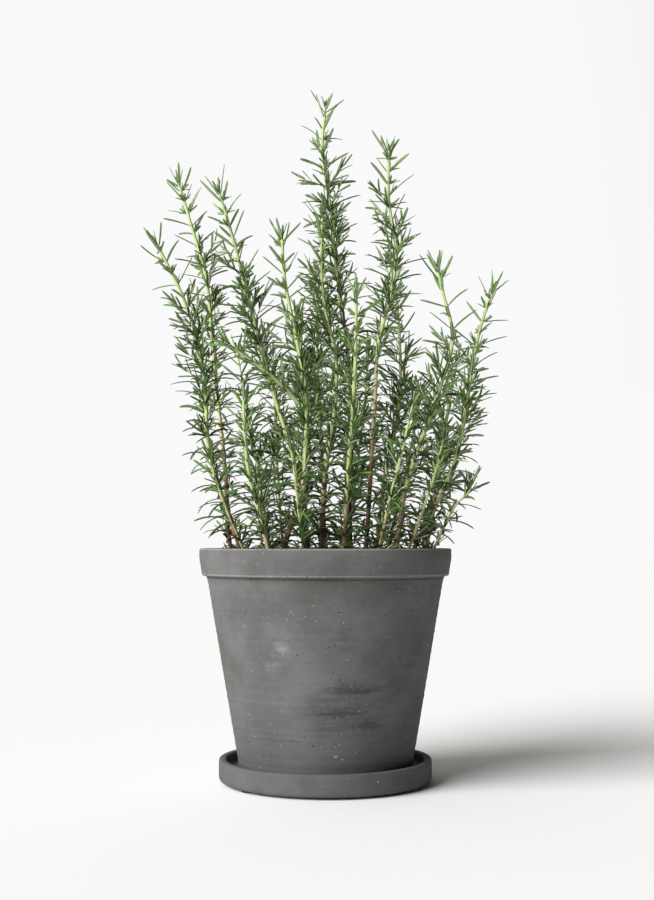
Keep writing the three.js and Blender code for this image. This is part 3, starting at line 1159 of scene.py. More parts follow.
@dataclass
class SoilBed:
    """The potting mix in the pot, with the crumbs, bark and perlite that lie on it."""

    rings: int = 84
    turns: int = 220
    relief: float = 2.2 * MM
    seed: int = 41

    def surface(self, x: Array, y: Array) -> Array:
        """The soil's height: a low crown plus ripples of three sizes.

        Args:
            x: The places' distances to the right, in metres.
            y: The places' distances to the back, in metres.

        Returns:
            The height at each place.
        """
        _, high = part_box("potting_soil")
        reach = high[0]
        crown = (1 - (x**2 + y**2) / reach**2) * 3 * MM
        flat = np.stack([x, y], -1)
        rough = (
            0.5 * ripple(flat, 40 * MM, 6, self.seed)
            + 0.3 * ripple(flat, 14 * MM, 9, self.seed + 1)
            + 0.2 * ripple(flat, 6 * MM, 12, self.seed + 2)
        )
        return high[2] - 3 * MM + crown + self.relief * rough * 0.8

    def build(self) -> list[bpy.types.Object]:
        """Builds the bed as a closed body and scatters its grains.

        Returns:
            The bed, then one piece for each kind of grain.
        """
        low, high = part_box("potting_soil")
        reach, foot = high[0], high[0] - 28.5 * MM
        radii = np.linspace(reach, 0, self.rings)[:-1]
        profile = np.array(
            [(0.0, low[2]), (foot, low[2]), (reach, high[2] - 4 * MM)]
            + [(r, high[2]) for r in radii[1:]]
            + [(0.0, high[2])]
        )
        points, faces = turned_surface(profile, self.turns)
        top = points[:, 2] > high[2] - 5 * MM
        points[top, 2] = self.surface(points[top, 0], points[top, 1])
        lots = 0.5 + 0.5 * np.clip(ripple(points, 9 * MM, 8, self.seed + 3), -1, 1)
        bed = build_piece("soil_bed", points, faces, {"lot": lots})
        return [bed, *self.scatter(reach)]

    def scatter(self, reach: float) -> list[bpy.types.Object]:
        """Strews each kind of grain evenly over the soil.

        Args:
            reach: The soil's radius, in metres.

        Returns:
            One piece for each kind.
        """
        pieces = []
        for number, (grain, kind) in enumerate(GRAIN_KINDS.items()):
            draw = np.random.default_rng(self.seed + 10 + number)
            sizes = draw.uniform(0, 1, kind.count) ** 1.8
            sizes = kind.smallest + (kind.largest - kind.smallest) * sizes
            x, y = strewn(draw, kind.count, reach - kind.largest * 0.6)
            z = self.surface(x, y) + sizes * kind.flatness * 0.18
            centres = np.stack([x, y, z], -1)
            pieces.append(scatter_lumps(grain.value, centres, sizes, kind.flatness, draw))
        return pieces

    def dress(self, pieces: list[bpy.types.Object]) -> None:
        """Lays on the soil and grain finishes; the bed takes the CAD soil's place.

        Args:
            pieces: The bed and the grains.
        """
        bed, *grains = pieces
        SOIL_CRUMB.on(bed)
        settle(bed, "potting_mix", "potting_soil")
        for piece, kind in zip(grains, GRAIN_KINDS.values()):
            kind.finish.on(piece)
            settle(piece, "potting_mix")


@dataclass
class DrainageLayer:
    """The coarse stones on the pot's floor, and the plastic net under them."""

    count: int = 620
    wall_gap: float = 11 * MM  # from the layer's edges to the stones' middles
    floor_gap: float = 7 * MM
    top_gap: float = 5 * MM
    seed: int = 77

    def build(self) -> bpy.types.Object:
        """Piles stones evenly through the CAD layer's space.

        Returns:
            The stones' piece.
        """
        low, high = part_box("drainage_gravel")
        draw = np.random.default_rng(self.seed)
        sizes = draw.uniform(7, 13, self.count) * MM
        x, y = strewn(draw, self.count, high[0] - self.wall_gap)
        height = draw.uniform(low[2] + self.floor_gap, high[2] - self.top_gap, self.count)
        centres = np.stack([x, y, height], -1)
        return scatter_lumps("drainage_stones", centres, sizes, 0.8, draw)

    def dress(self, piece: bpy.types.Object) -> None:
        """Lays on the pumice, takes the CAD layer's place and gives the net its plastic.

        Args:
            piece: The stones' piece.
        """
        PUMICE.on(piece)
        settle(piece, "drainage_stone", "drainage_gravel")
        NET_PLASTIC.on(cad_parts["drain_net"])


# ---- The plant ---------------------------------------------------------------------------------


@dataclass
class Centreline:
    """A shoot's smooth middle line, sampled finely, with directions along and across it."""

    points: Array
    along: Array = field(init=False)
    travelled: Array = field(init=False)

    def __post_init__(self) -> None:
        """Works out the directions and the distance travelled at each sample."""
        self.along = unit(np.gradient(self.points, axis=0))
        steps = np.linalg.norm(np.diff(self.points, axis=0), axis=1)
        self.travelled = np.concatenate([[0], np.cumsum(steps)])

    @property
    def length(self) -> float:
        """The line's whole length, in metres."""
        return float(self.travelled[-1])

    def sample(self, values: Array, distances: Array) -> Array:
        """Reads (n, 3) values given at the samples at other distances, by straight lines."""
        return np.stack([np.interp(distances, self.travelled, part) for part in values.T], -1)

    def frames(self, distances: Array) -> tuple[Array, Array, Array, Array]:
        """The places, directions and two sideways directions at some distances.

        The first sideways direction is +Y with its part along the line taken out, and the second
        is the line's direction crossed with it.

        Args:
            distances: (n,) distances from the root, in metres.

        Returns:
            (n, 3) places, directions along, directions across and directions beside.
        """
        place = self.sample(self.points, distances)
        along = unit(self.sample(self.along, distances))
        across = unit(np.array([0.0, 1.0, 0.0]) - along * along[:, 1:2])
        return place, along, across, np.cross(along, across)


def smooth_line(knots: Array, step: float) -> Array:
    """A Catmull-Rom curve through knots.

    Between knots p1 and p2 it is half of 2p1 + (p2-p0)t + (2p0-5p1+4p2-p3)t^2 +
    (3p1-p0-3p2+p3)t^3, with the end knots mirrored outwards.

    Args:
        knots: (n, 3) places.
        step: The distance between samples, in metres.

    Returns:
        (m, 3) samples from the first knot to the last.
    """
    padded = np.concatenate([[2 * knots[0] - knots[1]], knots, [2 * knots[-1] - knots[-2]]])
    gaps = np.linalg.norm(np.diff(knots, axis=0), axis=1)
    pieces = []
    for p0, p1, p2, p3, gap in zip(padded, padded[1:], padded[2:], padded[3:], gaps):
        t = np.linspace(0, 1, max(2, math.ceil(gap / step) + 1))[:-1, None]
        bend = (2 * p0 - 5 * p1 + 4 * p2 - p3) * t**2 + (3 * p1 - p0 - 3 * p2 + p3) * t**3
        pieces.append(0.5 * (2 * p1 + (p2 - p0) * t + bend))
    return np.concatenate([*pieces, knots[-1:]])


def shoot_knots(node: bpy.types.Object) -> Array:
    """Finds a CAD shoot's middle line from its corners.

    A stem's corners stand in tight groups round the stem and a leaf's point stands alone, so the
    corners with three others within 7 mm are the stem's. They are sorted along the chord from
    root to bud and parted wherever more than 6 mm is empty; each group's mean is a knot.

    Args:
        node: The shoot's CAD node.

    Returns:
        (n, 3) knots from the root to the bud's point.
    """
    corners = np.unique(np.round(node_points(node), 5), axis=0)
    gaps = np.linalg.norm(corners[:, None] - corners[None], axis=2)
    stem = corners[(gaps < 7 * MM).sum(axis=1) >= 4]
    root = stem[stem[:, 2].argmin()]
    bud = corners[np.linalg.norm(corners - root, axis=1).argmax()]
    reach = (stem - root) @ unit(bud - root)
    order = reach.argsort()
    breaks = np.flatnonzero(np.diff(reach[order]) > 6 * MM) + 1
    groups = np.split(stem[order], breaks)
    return np.array([group.mean(axis=0) for group in groups] + [bud])


# A leaf's section: across and up, as parts of its half width. The edge is rolled under, the upper
# skin has a groove down its middle, and the underside has a midrib.
LEAF_SECTION = np.array(
    [
        (1.0, -0.06),
        (0.58, 0.24),
        (0.0, 0.10),
        (-0.58, 0.24),
        (-1.0, -0.06),
        (-0.60, -0.34),
        (0.0, -0.14),
        (0.60, -0.34),
    ]
)
LEAF_UPPER = np.array([1.0, 1.0, 0.86, 1.0, 1.0, 0.80, 0.10, 0.80])
# Shares of the length at which a leaf has a ring of points: full leaves and the tufts' small ones.
FULL_STATIONS = np.array([0.0, 0.07, 0.22, 0.45, 0.68, 0.86, 0.95, 0.99])
SMALL_STATIONS = np.array([0.0, 0.15, 0.5, 0.82, 0.97])


@dataclass
class Leaves:
    """Many leaves as arrays: where each starts, which way it leans and how it is shaped."""

    foot: Array  # (n, 3) where the leaf leaves its stem
    along: Array  # (n, 3) the stem's direction there
    outward: Array  # (n, 3) away from the stem
    length: Array  # (n,) metres
    width: Array  # (n,) metres
    lean: Array  # (n,) radians from the stem's direction at the foot
    bend: Array  # (n,) radians added to the lean by the tip
    youth: Array  # (n,) 0 for an old leaf to 1 at the bud

    @staticmethod
    def joined(sets: list["Leaves"]) -> "Leaves":
        """One set with all the leaves of several."""
        names = Leaves.__dataclass_fields__
        return Leaves(**{k: np.concatenate([getattr(s, k) for s in sets]) for k in names})

    def kept(self, mask: Array) -> "Leaves":
        """The leaves that the mask picks."""
        return Leaves(**{k: getattr(self, k)[mask] for k in Leaves.__dataclass_fields__})

    def midlines(self, stations: Array) -> tuple[Array, Array]:
        """Each leaf's middle line and the direction of its upper skin.

        The line's direction leaves the stem's by lean + bend * s at share s of the length, in the
        plane of the stem's direction and outward; the line is the sum of those steps.

        Args:
            stations: (m,) shares of the length from 0 to 1.

        Returns:
            (n, m, 3) places and (n, m, 3) upward directions.
        """
        angle = self.lean[:, None] + self.bend[:, None] * stations
        cosine, sine = np.cos(angle)[..., None], np.sin(angle)[..., None]
        along, outward = self.along[:, None], self.outward[:, None]
        direction = cosine * along + sine * outward
        upward = sine * along - cosine * outward
        steps = np.diff(stations)[None, :, None] * self.length[:, None, None]
        moves = (direction[:, 1:] + direction[:, :-1]) / 2 * steps
        places = np.concatenate([np.zeros_like(moves[:, :1]), np.cumsum(moves, axis=1)], axis=1)
        return self.foot[:, None] + places, upward

    def surface(self, draw: np.random.Generator, stations: Array) -> Surface:
        """All leaves as closed straps with a narrow foot and a blunt tip.

        At share s the half width is width / 2 * min(1, 0.45 + 4s) * (1 - s^7)^0.5, and the section
        is laid across the leaf's side and up directions, rolled about its line by a random angle
        that turns on a little towards the tip. A leaf's lot is a random number, raised to a power
        that falls from 1 to 0.3 near the soil, which darkens the leaves there as painted shade.

        Args:
            draw: The random numbers' source.
            stations: Shares of the length at which each leaf has a ring of points.

        Returns:
            The points, the face arrays and the attributes "upper", "youth" and "lot".
        """
        places, upward = self.midlines(stations)
        count, rings, sides = len(self.foot), len(stations), len(LEAF_SECTION)
        side = unit(np.cross(self.along, self.outward))[:, None]
        roll = draw.normal(0, 0.35, (count, 1)) + draw.normal(0, 0.5, (count, 1)) * stations
        roll = roll[..., None]
        across = side * np.cos(roll) + upward * np.sin(roll)
        upward = upward * np.cos(roll) - side * np.sin(roll)
        # Near the soil the lots run high, so the leaves there are painted darker: painted shade.
        low = 1 - smooth_step(self.foot[:, 2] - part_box("potting_soil")[1][2], 0, 170 * MM)
        lot = draw.uniform(0, 1, count) ** (1 - 0.7 * low)
        full = np.minimum(1, 0.45 + 4 * stations) * np.sqrt(1 - stations**7)
        half = self.width[:, None] / 2 * full
        u, v = LEAF_SECTION[:, 0], LEAF_SECTION[:, 1]
        points = (
            places[:, :, None]
            + across[:, :, None] * (half[..., None] * u)[..., None]
            + upward[:, :, None] * (half[..., None] * v)[..., None]
        )
        reach = places[:, -1:] - places[:, -2:-1]
        tips = places[:, -1:] + unit(reach) * (self.width * 0.12)[:, None, None]
        per_leaf = rings * sides + 1
        flat = np.concatenate([points.reshape(count, -1, 3), tips], axis=1)
        start = np.arange(count)[:, None, None] * per_leaf
        quads = grid_quads(rings, sides, wrap_rows=False, wrap_columns=True)[None] + start
        cap = fan(rings * sides, (rings - 1) * sides, sides)
        butt = np.arange(sides)[::-1][None, None] + start
        upper = np.append(np.tile(LEAF_UPPER, rings), 0.8)
        attributes = {
            "upper": np.tile(upper, count),
            "youth": np.repeat(self.youth, per_leaf),
            "lot": np.repeat(lot, per_leaf),
        }
        faces = [quads.reshape(-1, 4), (cap[None] + start).reshape(-1, 3), butt.reshape(-1, sides)]
        return flat.reshape(-1, 3), faces, attributes


@dataclass(frozen=True)
class Habit:
    """How a shoot grows: its thickness, its leaves and how soon it turns woody."""

    root_radius: float = 2.4 * MM
    tip_radius: float = 1.2 * MM
    leaf_length: float = 28 * MM
    leaf_width: float = 2.75 * MM
    open_gap: float = 12 * MM  # between leaf pairs at the tip
    close_gap: float = 7.4 * MM  # between leaf pairs from mid-height down
    vigour: float = 1.0  # how young and bright the tip is
    woodiness: float = 0.0  # added to the stem's age


@dataclass(frozen=True)
class Posture:
    """An angle that the main leaves hold, in degrees."""

    bud: float  # at the bud
    opened: float  # added once a leaf has opened
    aged: float  # added once it is old
    spread: float  # how much leaves differ

    def angle(self, opening: Array, ageing: Array, chance: Array) -> Array:
        """The angle in radians: bud + opened * opening + aged * ageing + spread * chance."""
        degrees = self.bud + self.opened * opening + self.aged * ageing + self.spread * chance
        return np.radians(degrees)


LEAN = Posture(38, 16, 12, 7)
BEND = Posture(2, 12, 48, 12)
LEADER = Habit()
WOODY_LEADER = Habit(root_radius=2.1 * MM, woodiness=0.3)
SIDE_SHOOT = Habit(
    root_radius=1.5 * MM,
    tip_radius=0.8 * MM,
    leaf_length=25 * MM,
    leaf_width=2.6 * MM,
    open_gap=9 * MM,
    vigour=0.2,
    woodiness=0.3,
)
HABITS = {
    "branch_front_left": Habit(root_radius=1.9 * MM, open_gap=10 * MM, close_gap=9 * MM),
    "shoot_centre_tallest": WOODY_LEADER,
    "shoot_left_tall": WOODY_LEADER,
    "shoot_right_shaded": WOODY_LEADER,
    "shoot_right_tall": WOODY_LEADER,
    "shoot_back_centre": SIDE_SHOOT,
    "shoot_back_left": SIDE_SHOOT,
    "shoot_back_right": SIDE_SHOOT,
    "shoot_back_right_outer": SIDE_SHOOT,
    "shoot_front_low": SIDE_SHOOT,
    "shoot_front_right": SIDE_SHOOT,
    "shoot_front_right_low": SIDE_SHOOT,
    "shoot_left_front_low": SIDE_SHOOT,
    "shoot_middle_back": SIDE_SHOOT,
    "shoot_middle_left": SIDE_SHOOT,
    "shoot_right_low": SIDE_SHOOT,
}

GOLDEN_ANGLE = math.radians(137.5)


@dataclass
class RosemaryShoot:
    """One shoot: a ridged stem with opposite pairs of strap leaves and tufts in their axils."""

    node: str
    seed: int
    sprig_radius: float = 0.6 * MM
    bare_above: float = 10 * MM  # no leaf pairs lower over the soil than this
    wall_gap: float = 13 * MM  # how far inside the pot's outside a low leaf stays
    rim_gap: float = 1.5 * MM
    soil_gap: float = 1 * MM
    past_cad: float = 4 * MM  # how far past the CAD box a leaf may reach
    sample_step: float = 1.5 * MM
    bud_samples: int = 6  # left off the line's end, where the bud closes
    stem_gap: float = 7 * MM  # from the stem's end to the line's
    sides: int = 12
    ring_step: float = 2.2 * MM
    swell_width: float = 1.5 * MM
    swelling: float = 0.2
    ridges: float = 0.07
    habit: Habit = field(init=False)
    line: Centreline = field(init=False)
    draw: np.random.Generator = field(init=False)
    whorls: Array = field(init=False)

    def __post_init__(self) -> None:
        """Reads the shoot's line from the frame and places its leaf pairs."""
        self.habit = HABITS.get(self.node, LEADER)
        knots = shoot_knots(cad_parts[self.node])
        points = smooth_line(knots, self.sample_step)
        self.line = Centreline(points[: -self.bud_samples])
        self.draw = np.random.default_rng(self.seed)
        self.whorls = self.whorl_distances()

    def radius_at(self, distance: Array) -> Array:
        """The stem's radius: thick at the root, thinning as the share ** 0.8 towards the tip.

        Args:
            distance: Distances from the root, in metres.

        Returns:
            The radius at each.
        """
        share = np.clip(distance / self.line.length, 0, 1) ** 0.8
        thick, thin = self.habit.root_radius, self.habit.tip_radius
        return thick + (thin - thick) * share

    def height_above_soil(self, places: Array) -> Array:
        """How far places stand above the soil, in metres."""
        return places[..., 2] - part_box("potting_soil")[1][2]

    def whorl_distances(self) -> Array:
        """Where the leaf pairs stand, from above the soil to the bud.

        Counted down from the tip, the gap between pairs eases from open_gap to close_gap over
        130 mm; the pairs stand where the sum of 1 / gap passes each whole number, a little uneven.

        Returns:
            The pairs' distances from the root, in metres.
        """
        step = 0.5 * MM
        below = np.arange(14 * MM, self.line.length, step)
        habit = self.habit
        ease = smooth_step(below, 30 * MM, 130 * MM)
        gap = habit.open_gap + (habit.close_gap - habit.open_gap) * ease
        counted = np.cumsum(step / gap)
        number = np.arange(math.floor(counted[-1]))
        from_tip = np.interp(number, counted, below)
        from_tip[1:] += self.draw.normal(0, 0.13, len(number) - 1) * habit.close_gap
        distances = np.sort(self.line.length - from_tip)
        places, *_ = self.line.frames(distances)
        buried = self.height_above_soil(places) < self.bare_above
        return distances[~buried & (distances > 2 * MM)]

    def pairs(self) -> Leaves:
        """The main leaves: two opposite at each whorl, each whorl a quarter turn from the last.

        Towards the root the leaves are longer, lean further from the stem and arch down more.

        Returns:
            The main leaves.
        """
        count = len(self.whorls)
        turn = np.arange(count) * (math.pi / 2 + 0.10) + self.draw.uniform(0, math.pi)
        turn = np.concatenate([turn, turn + math.pi]) + self.draw.normal(0, 0.14, 2 * count)
        distances = np.tile(self.whorls, 2)
        from_tip = self.line.length - distances
        place, along, across, beside = self.line.frames(distances)
        opening = smooth_step(from_tip, 5 * MM, 45 * MM)
        low = 1 - smooth_step(self.height_above_soil(place), 20 * MM, 180 * MM)
        ageing = np.maximum(smooth_step(from_tip, 60 * MM, 260 * MM), 0.9 * low * opening)
        size = 0.95 + 0.08 * opening + 0.10 * ageing
        outward = around(across, beside, turn)
        habit = self.habit
        chance = self.draw.normal(0, 1, (2, 2 * count))
        return Leaves(
            foot=place + outward * (self.radius_at(distances) * 0.7)[:, None],
            along=along,
            outward=outward,
            length=habit.leaf_length * size * self.draw.uniform(0.80, 1.10, 2 * count),
            width=habit.leaf_width * self.draw.uniform(0.85, 1.12, 2 * count),
            lean=LEAN.angle(opening, ageing, chance[0]),
            bend=BEND.angle(opening, ageing, chance[1]),
            youth=(1 - smooth_step(from_tip, 10 * MM, 110 * MM)) * habit.vigour,
        )

    def sprigs(
        self, host: Leaves, each: int, reach: Array, share: Array, tilt: float
    ) -> tuple[Leaves, Array, Array]:
        """Short leafy side growths in the hosts' axils.

        A sprig leaves its axil at the tilt off the stem and carries leaves in turns of 137.5
        degrees round it, from 15% of its reach to its end, the last the most upright.

        Args:
            host: The main leaves in whose axils the sprigs grow.
            each: How many leaves a sprig has.
            reach: (n,) the sprigs' lengths, in metres.
            share: (n,) their leaves' length as a part of a main leaf's.
            tilt: Degrees between a sprig and the stem.

        Returns:
            The sprigs' leaves, and the (n, 3) starts and ends of their stems.
        """
        count = len(host.foot)
        lean = np.radians(self.draw.normal(tilt, 7, count))[:, None]
        axis = np.cos(lean) * host.along + np.sin(lean) * host.outward
        base = host.foot + host.along * 0.8 * MM
        number = np.tile(np.arange(each), count)
        level = 0.15 + 0.85 * number / max(each - 1, 1)
        owner = np.repeat(np.arange(count), each)
        side = unit(np.cross(host.along, host.outward))[owner]
        other = np.cross(axis[owner], side)
        turn = number * GOLDEN_ANGLE + np.repeat(self.draw.uniform(0, 6.3, count), each)
        outward = around(side, other, turn)
        total = count * each
        size = share[owner] * (1 - 0.3 * level) * self.draw.uniform(0.75, 1.15, total)
        leaves = Leaves(
            foot=base[owner] + axis[owner] * (reach[owner] * level)[:, None],
            along=axis[owner],
            outward=outward,
            length=self.habit.leaf_length * size,
            width=self.habit.leaf_width * 0.85 * self.draw.uniform(0.8, 1.1, total),
            lean=np.radians(16 + 34 * (1 - level) + self.draw.normal(0, 8, total)),
            bend=np.radians(8 + self.draw.normal(0, 12, total)),
            youth=np.clip(host.youth[owner] + 0.25 * level * self.habit.vigour, 0, 1),
        )
        return leaves, base, base + axis * reach[:, None]

    def tufts(self, main: Leaves) -> tuple[Leaves, Array, Array]:
        """The small upright leaves that hug the stem above nearly every main leaf.

        Args:
            main: The main leaves.

        Returns:
            The leaves, and the (n, 3) starts and ends of their stems.
        """
        from_tip = np.linalg.norm(main.foot - self.line.points[-1], axis=1)
        chance = 0.50 + 0.25 * smooth_step(from_tip, 40 * MM, 110 * MM)
        chance -= 0.4 * smooth_step(from_tip, 150 * MM, 300 * MM)
        host = main.kept(self.draw.uniform(0, 1, len(main.foot)) < chance)
        age = 1 - host.youth
        reach = (2 + 5 * age * self.draw.uniform(0, 1, len(age))) * MM
        share = 0.38 + 0.30 * age * self.draw.uniform(0.2, 1, len(age))
        return self.sprigs(host, 4, reach, share, 44)

    def side_growth(self, main: Leaves) -> tuple[Leaves, Array, Array]:
        """The longer sprigs that fill the lower half of a shoot with leaves.

        Args:
            main: The main leaves.

        Returns:
            The leaves, and the (n, 3) starts and ends of their stems.
        """
        from_tip = np.linalg.norm(main.foot - self.line.points[-1], axis=1)
        chance = 0.60 * smooth_step(from_tip, 42 * MM, 112 * MM)
        chance *= 1 - 0.9 * smooth_step(from_tip, 120 * MM, 230 * MM)
        chance *= 0.4 + 0.6 * smooth_step(self.height_above_soil(main.foot), 20 * MM, 100 * MM)
        host = main.kept(self.draw.uniform(0, 1, len(chance)) < chance)
        count = len(host.foot)
        reach = self.draw.uniform(9, 26, count) * MM
        share = self.draw.uniform(0.6, 0.9, count)
        return self.sprigs(host, 7, reach, share, 42)

    def bud(self) -> Leaves:
        """The opening tuft at the tip: four pairs, each shorter and more upright than the last.

        Returns:
            The tuft's leaves.
        """
        order = np.repeat(np.arange(4), 2) / 4
        count = len(order)
        distances = self.line.length - (9 - 9 * order) * MM
        place, along, across, beside = self.line.frames(distances)
        turn = np.tile([0, math.pi], 4) + np.repeat(np.arange(4), 2) * (math.pi / 2 + 0.1)
        turn = turn + self.draw.uniform(0, math.pi) + self.draw.normal(0, 0.2, count)
        outward = around(across, beside, turn)
        sizes = np.interp(order, [0, 0.25, 0.5, 0.75], [0.95, 0.72, 0.42, 0.2])
        length = self.habit.leaf_length * sizes
        return Leaves(
            foot=place + outward * 0.5 * MM,
            along=along,
            outward=outward,
            length=length * self.draw.uniform(0.85, 1.15, count),
            width=self.habit.leaf_width * (0.9 - 0.35 * order),
            lean=np.radians(40 - 40 * order + self.draw.normal(0, 5, count)),
            bend=np.radians(2 - 6 * order + self.draw.normal(0, 6, count)),
            youth=np.full(count, self.habit.vigour),
        )

    def clear(self, leaves: Leaves) -> Leaves:
        """Leaves out those that would run into the pot or the soil, or reach past the CAD box.

        Args:
            leaves: The leaves to sort.

        Returns:
            The leaves that stay.
        """
        _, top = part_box("pot")
        low, high = (np.array(corner) for corner in CAD_BOX)
        places, _ = leaves.midlines(np.linspace(0, 1, 9))
        radius = np.linalg.norm(places[..., :2], axis=-1)
        height = places[..., 2]
        in_wall = (radius > top[0] - self.wall_gap) & (height < top[2] + self.rim_gap)
        in_soil = self.height_above_soil(places) < self.soil_gap
        past = (places < low - self.past_cad) | (places > high + self.past_cad)
        beyond = past.any(axis=2)
        return leaves.kept(~(in_wall | in_soil | beyond).any(axis=1))

    def stem_surface(self) -> Surface:
        """The stem as a closed tube whose radius swells at the whorls and carries four ridges.

        At distance d and angle a the radius is r(d) * (1 + 0.07 cos 4a) * (1 + 0.2 swell(d)),
        where swell is a sum of bells 1.5 mm wide at the whorls. Its age is half how far the place
        is below the tip and half how near it is to the soil.

        Returns:
            The stem, with the attributes "age" and "ridge".
        """
        end = self.line.length - self.stem_gap
        distances = np.linspace(0, end, max(8, round(end / self.ring_step)))
        place, _, across, beside = self.line.frames(distances)
        turn = full_turn(self.sides)
        offsets = (distances[:, None] - self.whorls[None]) / self.swell_width
        swell = np.exp(-(offsets**2)).sum(axis=1)
        radius = self.radius_at(distances) * (1 + self.swelling * swell)
        section = 1 + self.ridges * np.cos(4 * turn)
        ring = around(across[:, None], beside[:, None], turn)
        points = place[:, None] + ring * (radius[:, None] * section)[..., None]
        below_tip = smooth_step(self.line.length - distances, 50 * MM, 380 * MM)
        near_soil = 1 - smooth_step(self.height_above_soil(place), 15 * MM, 120 * MM)
        age = np.clip(0.5 * below_tip + 0.5 * near_soil + self.habit.woodiness * below_tip, 0, 1)
        attributes = {
            "age": np.repeat(age, self.sides),
            "ridge": np.tile(0.5 + 0.5 * np.cos(4 * turn), len(distances)),
        }
        return points.reshape(-1, 3), [*tube_faces(len(distances), self.sides)], attributes

    def sprig_stems(self, starts: Array, ends: Array) -> Surface:
        """The sprigs' thin stems: five-sided tapered tubes from start to end.

        Args:
            starts: (n, 3) the axils.
            ends: (n, 3) the stems' far ends.

        Returns:
            The stems, with the attributes "age" and "ridge".
        """
        count, sides = len(starts), 5
        axis = unit(ends - starts)
        across = unit(np.cross(axis, [0.31, 0.95, 0.05]))
        beside = np.cross(axis, across)
        ring = around(across[:, None], beside[:, None], full_turn(sides)) * self.sprig_radius
        points = np.stack([starts[:, None] + ring, ends[:, None] + 0.6 * ring], 1)
        first = np.arange(count)[:, None, None] * 2 * sides
        quads, caps = (faces[None] + first for faces in tube_faces(2, sides))
        total = count * 2 * sides
        attributes = {"age": np.full(total, 0.2), "ridge": np.full(total, 0.6)}
        faces = [quads.reshape(-1, 4), caps.reshape(-1, sides)]
        return points.reshape(-1, 3), faces, attributes

    def build(self) -> list[bpy.types.Object]:
        """Builds the stem and the leaves as two pieces.

        Returns:
            The stem and the leaves.
        """
        main = self.clear(self.pairs())
        tufts, *tuft_stems = self.tufts(main)
        growth, *growth_stems = self.side_growth(main)
        fine = self.clear(Leaves.joined([tufts, growth, self.bud()]))
        stems = [self.sprig_stems(*ends) for ends in (tuft_stems, growth_stems)]
        stem = join_surfaces([self.stem_surface(), *stems])
        surfaces = [main.surface(self.draw, FULL_STATIONS), fine.surface(self.draw, SMALL_STATIONS)]
        return [
            build_piece(f"{self.node}_stem", *stem),
            build_piece(f"{self.node}_leaves", *join_surfaces(surfaces)),
        ]

    def dress(self, pieces: list[bpy.types.Object]) -> None:
        """Lays on the stem and leaf finishes; both pieces stand for the CAD shoot.

        Args:
            pieces: The stem and the leaves.
        """
        stem, foliage = pieces
        SquareStem().on(stem)
        settle(stem, "rosemary_stem", self.node)
        NeedleLeaf().on(foliage)
        settle(foliage, "rosemary_leaf", self.node)


def join_surfaces(surfaces: list[Surface]) -> Surface:
    """One surface of several, with each one's point numbers moved past the ones before it.

    Args:
        surfaces: The surfaces, all with the same attributes.

    Returns:
        The one surface.
    """
    firsts = np.cumsum([0] + [len(points) for points, _, _ in surfaces[:-1]])
    faces = [f + first for (_, fs, _), first in zip(surfaces, firsts) for f in fs]
    names = surfaces[0][2]
    attributes = {k: np.concatenate([a[k] for _, _, a in surfaces]) for k in names}
    return np.concatenate([points for points, _, _ in surfaces]), faces, attributes


# ---- The studio --------------------------------------------------------------------------------


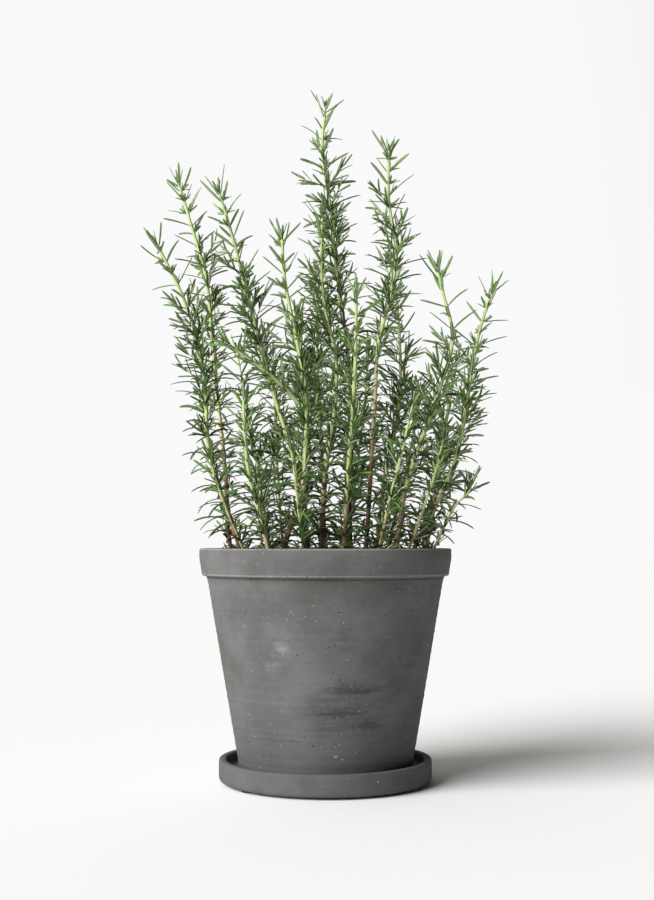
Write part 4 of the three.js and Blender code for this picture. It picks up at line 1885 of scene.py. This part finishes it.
@dataclass
class Studio:
    """A wide pale floor under a pale dome, a soft light from the left front, and the camera."""

    floor_radius: float = 40.0
    key_strength: float = 5.4
    key_colour: tuple[float, float, float] = (0.985, 0.99, 1.0)
    key_softness: float = math.radians(44)
    key_azimuth: float = math.radians(-53)
    key_height: float = math.radians(30)
    horizon: float = 0.95
    dim_side: float = 0.02
    ceiling: tuple[float, float, float] = (0.60, 0.60, 0.56)
    bright_side: tuple[float, float, float] = (-0.77, 0.64, 0.0)
    fade: tuple[float, float] = (0.40, 0.62)  # heights where the horizon ends and ceiling begins
    pale_band: tuple[float, float] = (0.11, 0.14)  # heights where it begins and ends to fade
    dimming: tuple[float, float] = (-0.2, 0.5)  # how far towards the bright side it is dim, bright
    camera_distance: float = 1.282
    camera_height: float = 0.227
    lens: float = 53.76
    shift: tuple[float, float] = (0.0017, 0.1033)

    def build(self) -> None:
        """Builds the floor, the lights and the camera."""
        self.build_floor()
        self.build_key_light()
        self.build_dome()
        self.build_camera()

    def build_floor(self) -> None:
        """Lays a flat disc, with rings of points at radii that double outwards."""
        turns = 96
        radii = self.floor_radius / 2.0 ** np.arange(7)[::-1]
        angles = full_turn(turns)
        flat = radii[:, None, None] * np.stack([np.cos(angles), np.sin(angles)], -1)
        points = np.concatenate([flat, np.zeros_like(flat[..., :1])], -1).reshape(-1, 3)
        quads = grid_quads(len(radii), turns, wrap_rows=False, wrap_columns=True)[:, ::-1]
        middle = fan(len(points), 0, turns)
        points = np.concatenate([points, np.zeros((1, 3))])
        floor = build_piece("studio_floor", points, [quads, middle])
        PALE_FLOOR.on(floor)
        floor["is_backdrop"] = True

    def build_key_light(self) -> None:
        """Adds one broad soft light, high on the left front, aimed at the plant."""
        light = bpy.data.lights.new("key_light", "SUN")
        light.energy = self.key_strength
        light.angle = self.key_softness
        light.color = self.key_colour
        flat = math.cos(self.key_height)
        towards_light = Vector(
            (
                flat * math.sin(self.key_azimuth),
                -flat * math.cos(self.key_azimuth),
                math.sin(self.key_height),
            )
        )
        lamp = bpy.data.objects.new("key_light", light)
        turn = (-towards_light).to_track_quat("-Z", "Y").to_matrix().to_4x4()
        lamp.matrix_world = Matrix.Translation(towards_light * 3) @ turn
        bpy.context.scene.collection.objects.link(lamp)

    def build_dome(self) -> None:
        """Surrounds the stage with a dome: pale behind, dimmer overhead and to the right front.

        The colour is read from the direction's height, then dimmed by how far the direction turns
        away from the bright side. Just over the horizon the dome is pale all round.
        """
        world = bpy.data.worlds.new("pale_dome")
        world.use_nodes = True
        tree = world.node_tree
        direction = add_node(tree, "TexCoord", output="Generated")
        height = add_node(tree, "SeparateXYZ", (direction,), output="Z")
        stops = list(zip(self.fade, ((*(self.horizon,) * 3, 1.0), (*self.ceiling, 1.0))))
        shade = add_node(tree, "ValToRGB", (height,), stops=stops)
        inputs = (direction, self.bright_side)
        facing = add_node(tree, "VectorMath", inputs, operation="DOT_PRODUCT")
        inputs = (facing, *self.dimming, self.dim_side, 1.0)
        level = add_node(tree, "MapRange", inputs, interpolation_type="SMOOTHSTEP")
        band = add_node(tree, "MapRange", (height, *self.pale_band, 1.0, 0.0))
        strength = add_node(tree, "Math", (level, band), operation="MAXIMUM")
        fill(tree, tree.nodes["Background"], {"Color": shade, "Strength": strength})
        bpy.context.scene.world = world
        bpy.context.scene.view_settings.view_transform = "Standard"

    def build_camera(self) -> None:
        """A level camera at the height of the rim, shifted up to take in the plant."""
        camera = bpy.data.cameras.new("camera")
        camera.lens = self.lens
        camera.sensor_width = 36.0
        camera.shift_x, camera.shift_y = self.shift
        holder = bpy.data.objects.new("camera", camera)
        place = Matrix.Translation((0.0, -self.camera_distance, self.camera_height))
        holder.matrix_world = place @ Matrix.Rotation(math.pi / 2, 4, "X")
        bpy.context.scene.collection.objects.link(holder)
        bpy.context.scene.camera = holder


# ---- Assembly ----------------------------------------------------------------------------------


def shoot_nodes() -> list[str]:
    """The names of the CAD nodes that are shoots, in order."""
    return sorted(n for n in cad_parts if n.startswith(("shoot_", "branch_")))


def write_sizes() -> None:
    """Puts the CAD model's box and the visual model's box into plain lists of numbers."""
    boxes = {"cad": CAD_BOX, "visual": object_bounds()}
    plain = {name: [list(map(float, corner)) for corner in box] for name, box in boxes.items()}


def main() -> None:
    """Builds and dresses every sub-assembly in order, and reports each piece."""
    logging.basicConfig(level=logging.INFO, format="%(name)s %(message)s")
    Studio().build()
    for part in (ClayPot(), Saucer(), SaucerPads(), SoilBed(), DrainageLayer()):
        part.dress(part.build())
    for number, node in enumerate(shoot_nodes()):
        shoot = RosemaryShoot(node, seed=100 + number)
        shoot.dress(shoot.build())
    write_sizes()


if __name__ == "__main__":
    main()
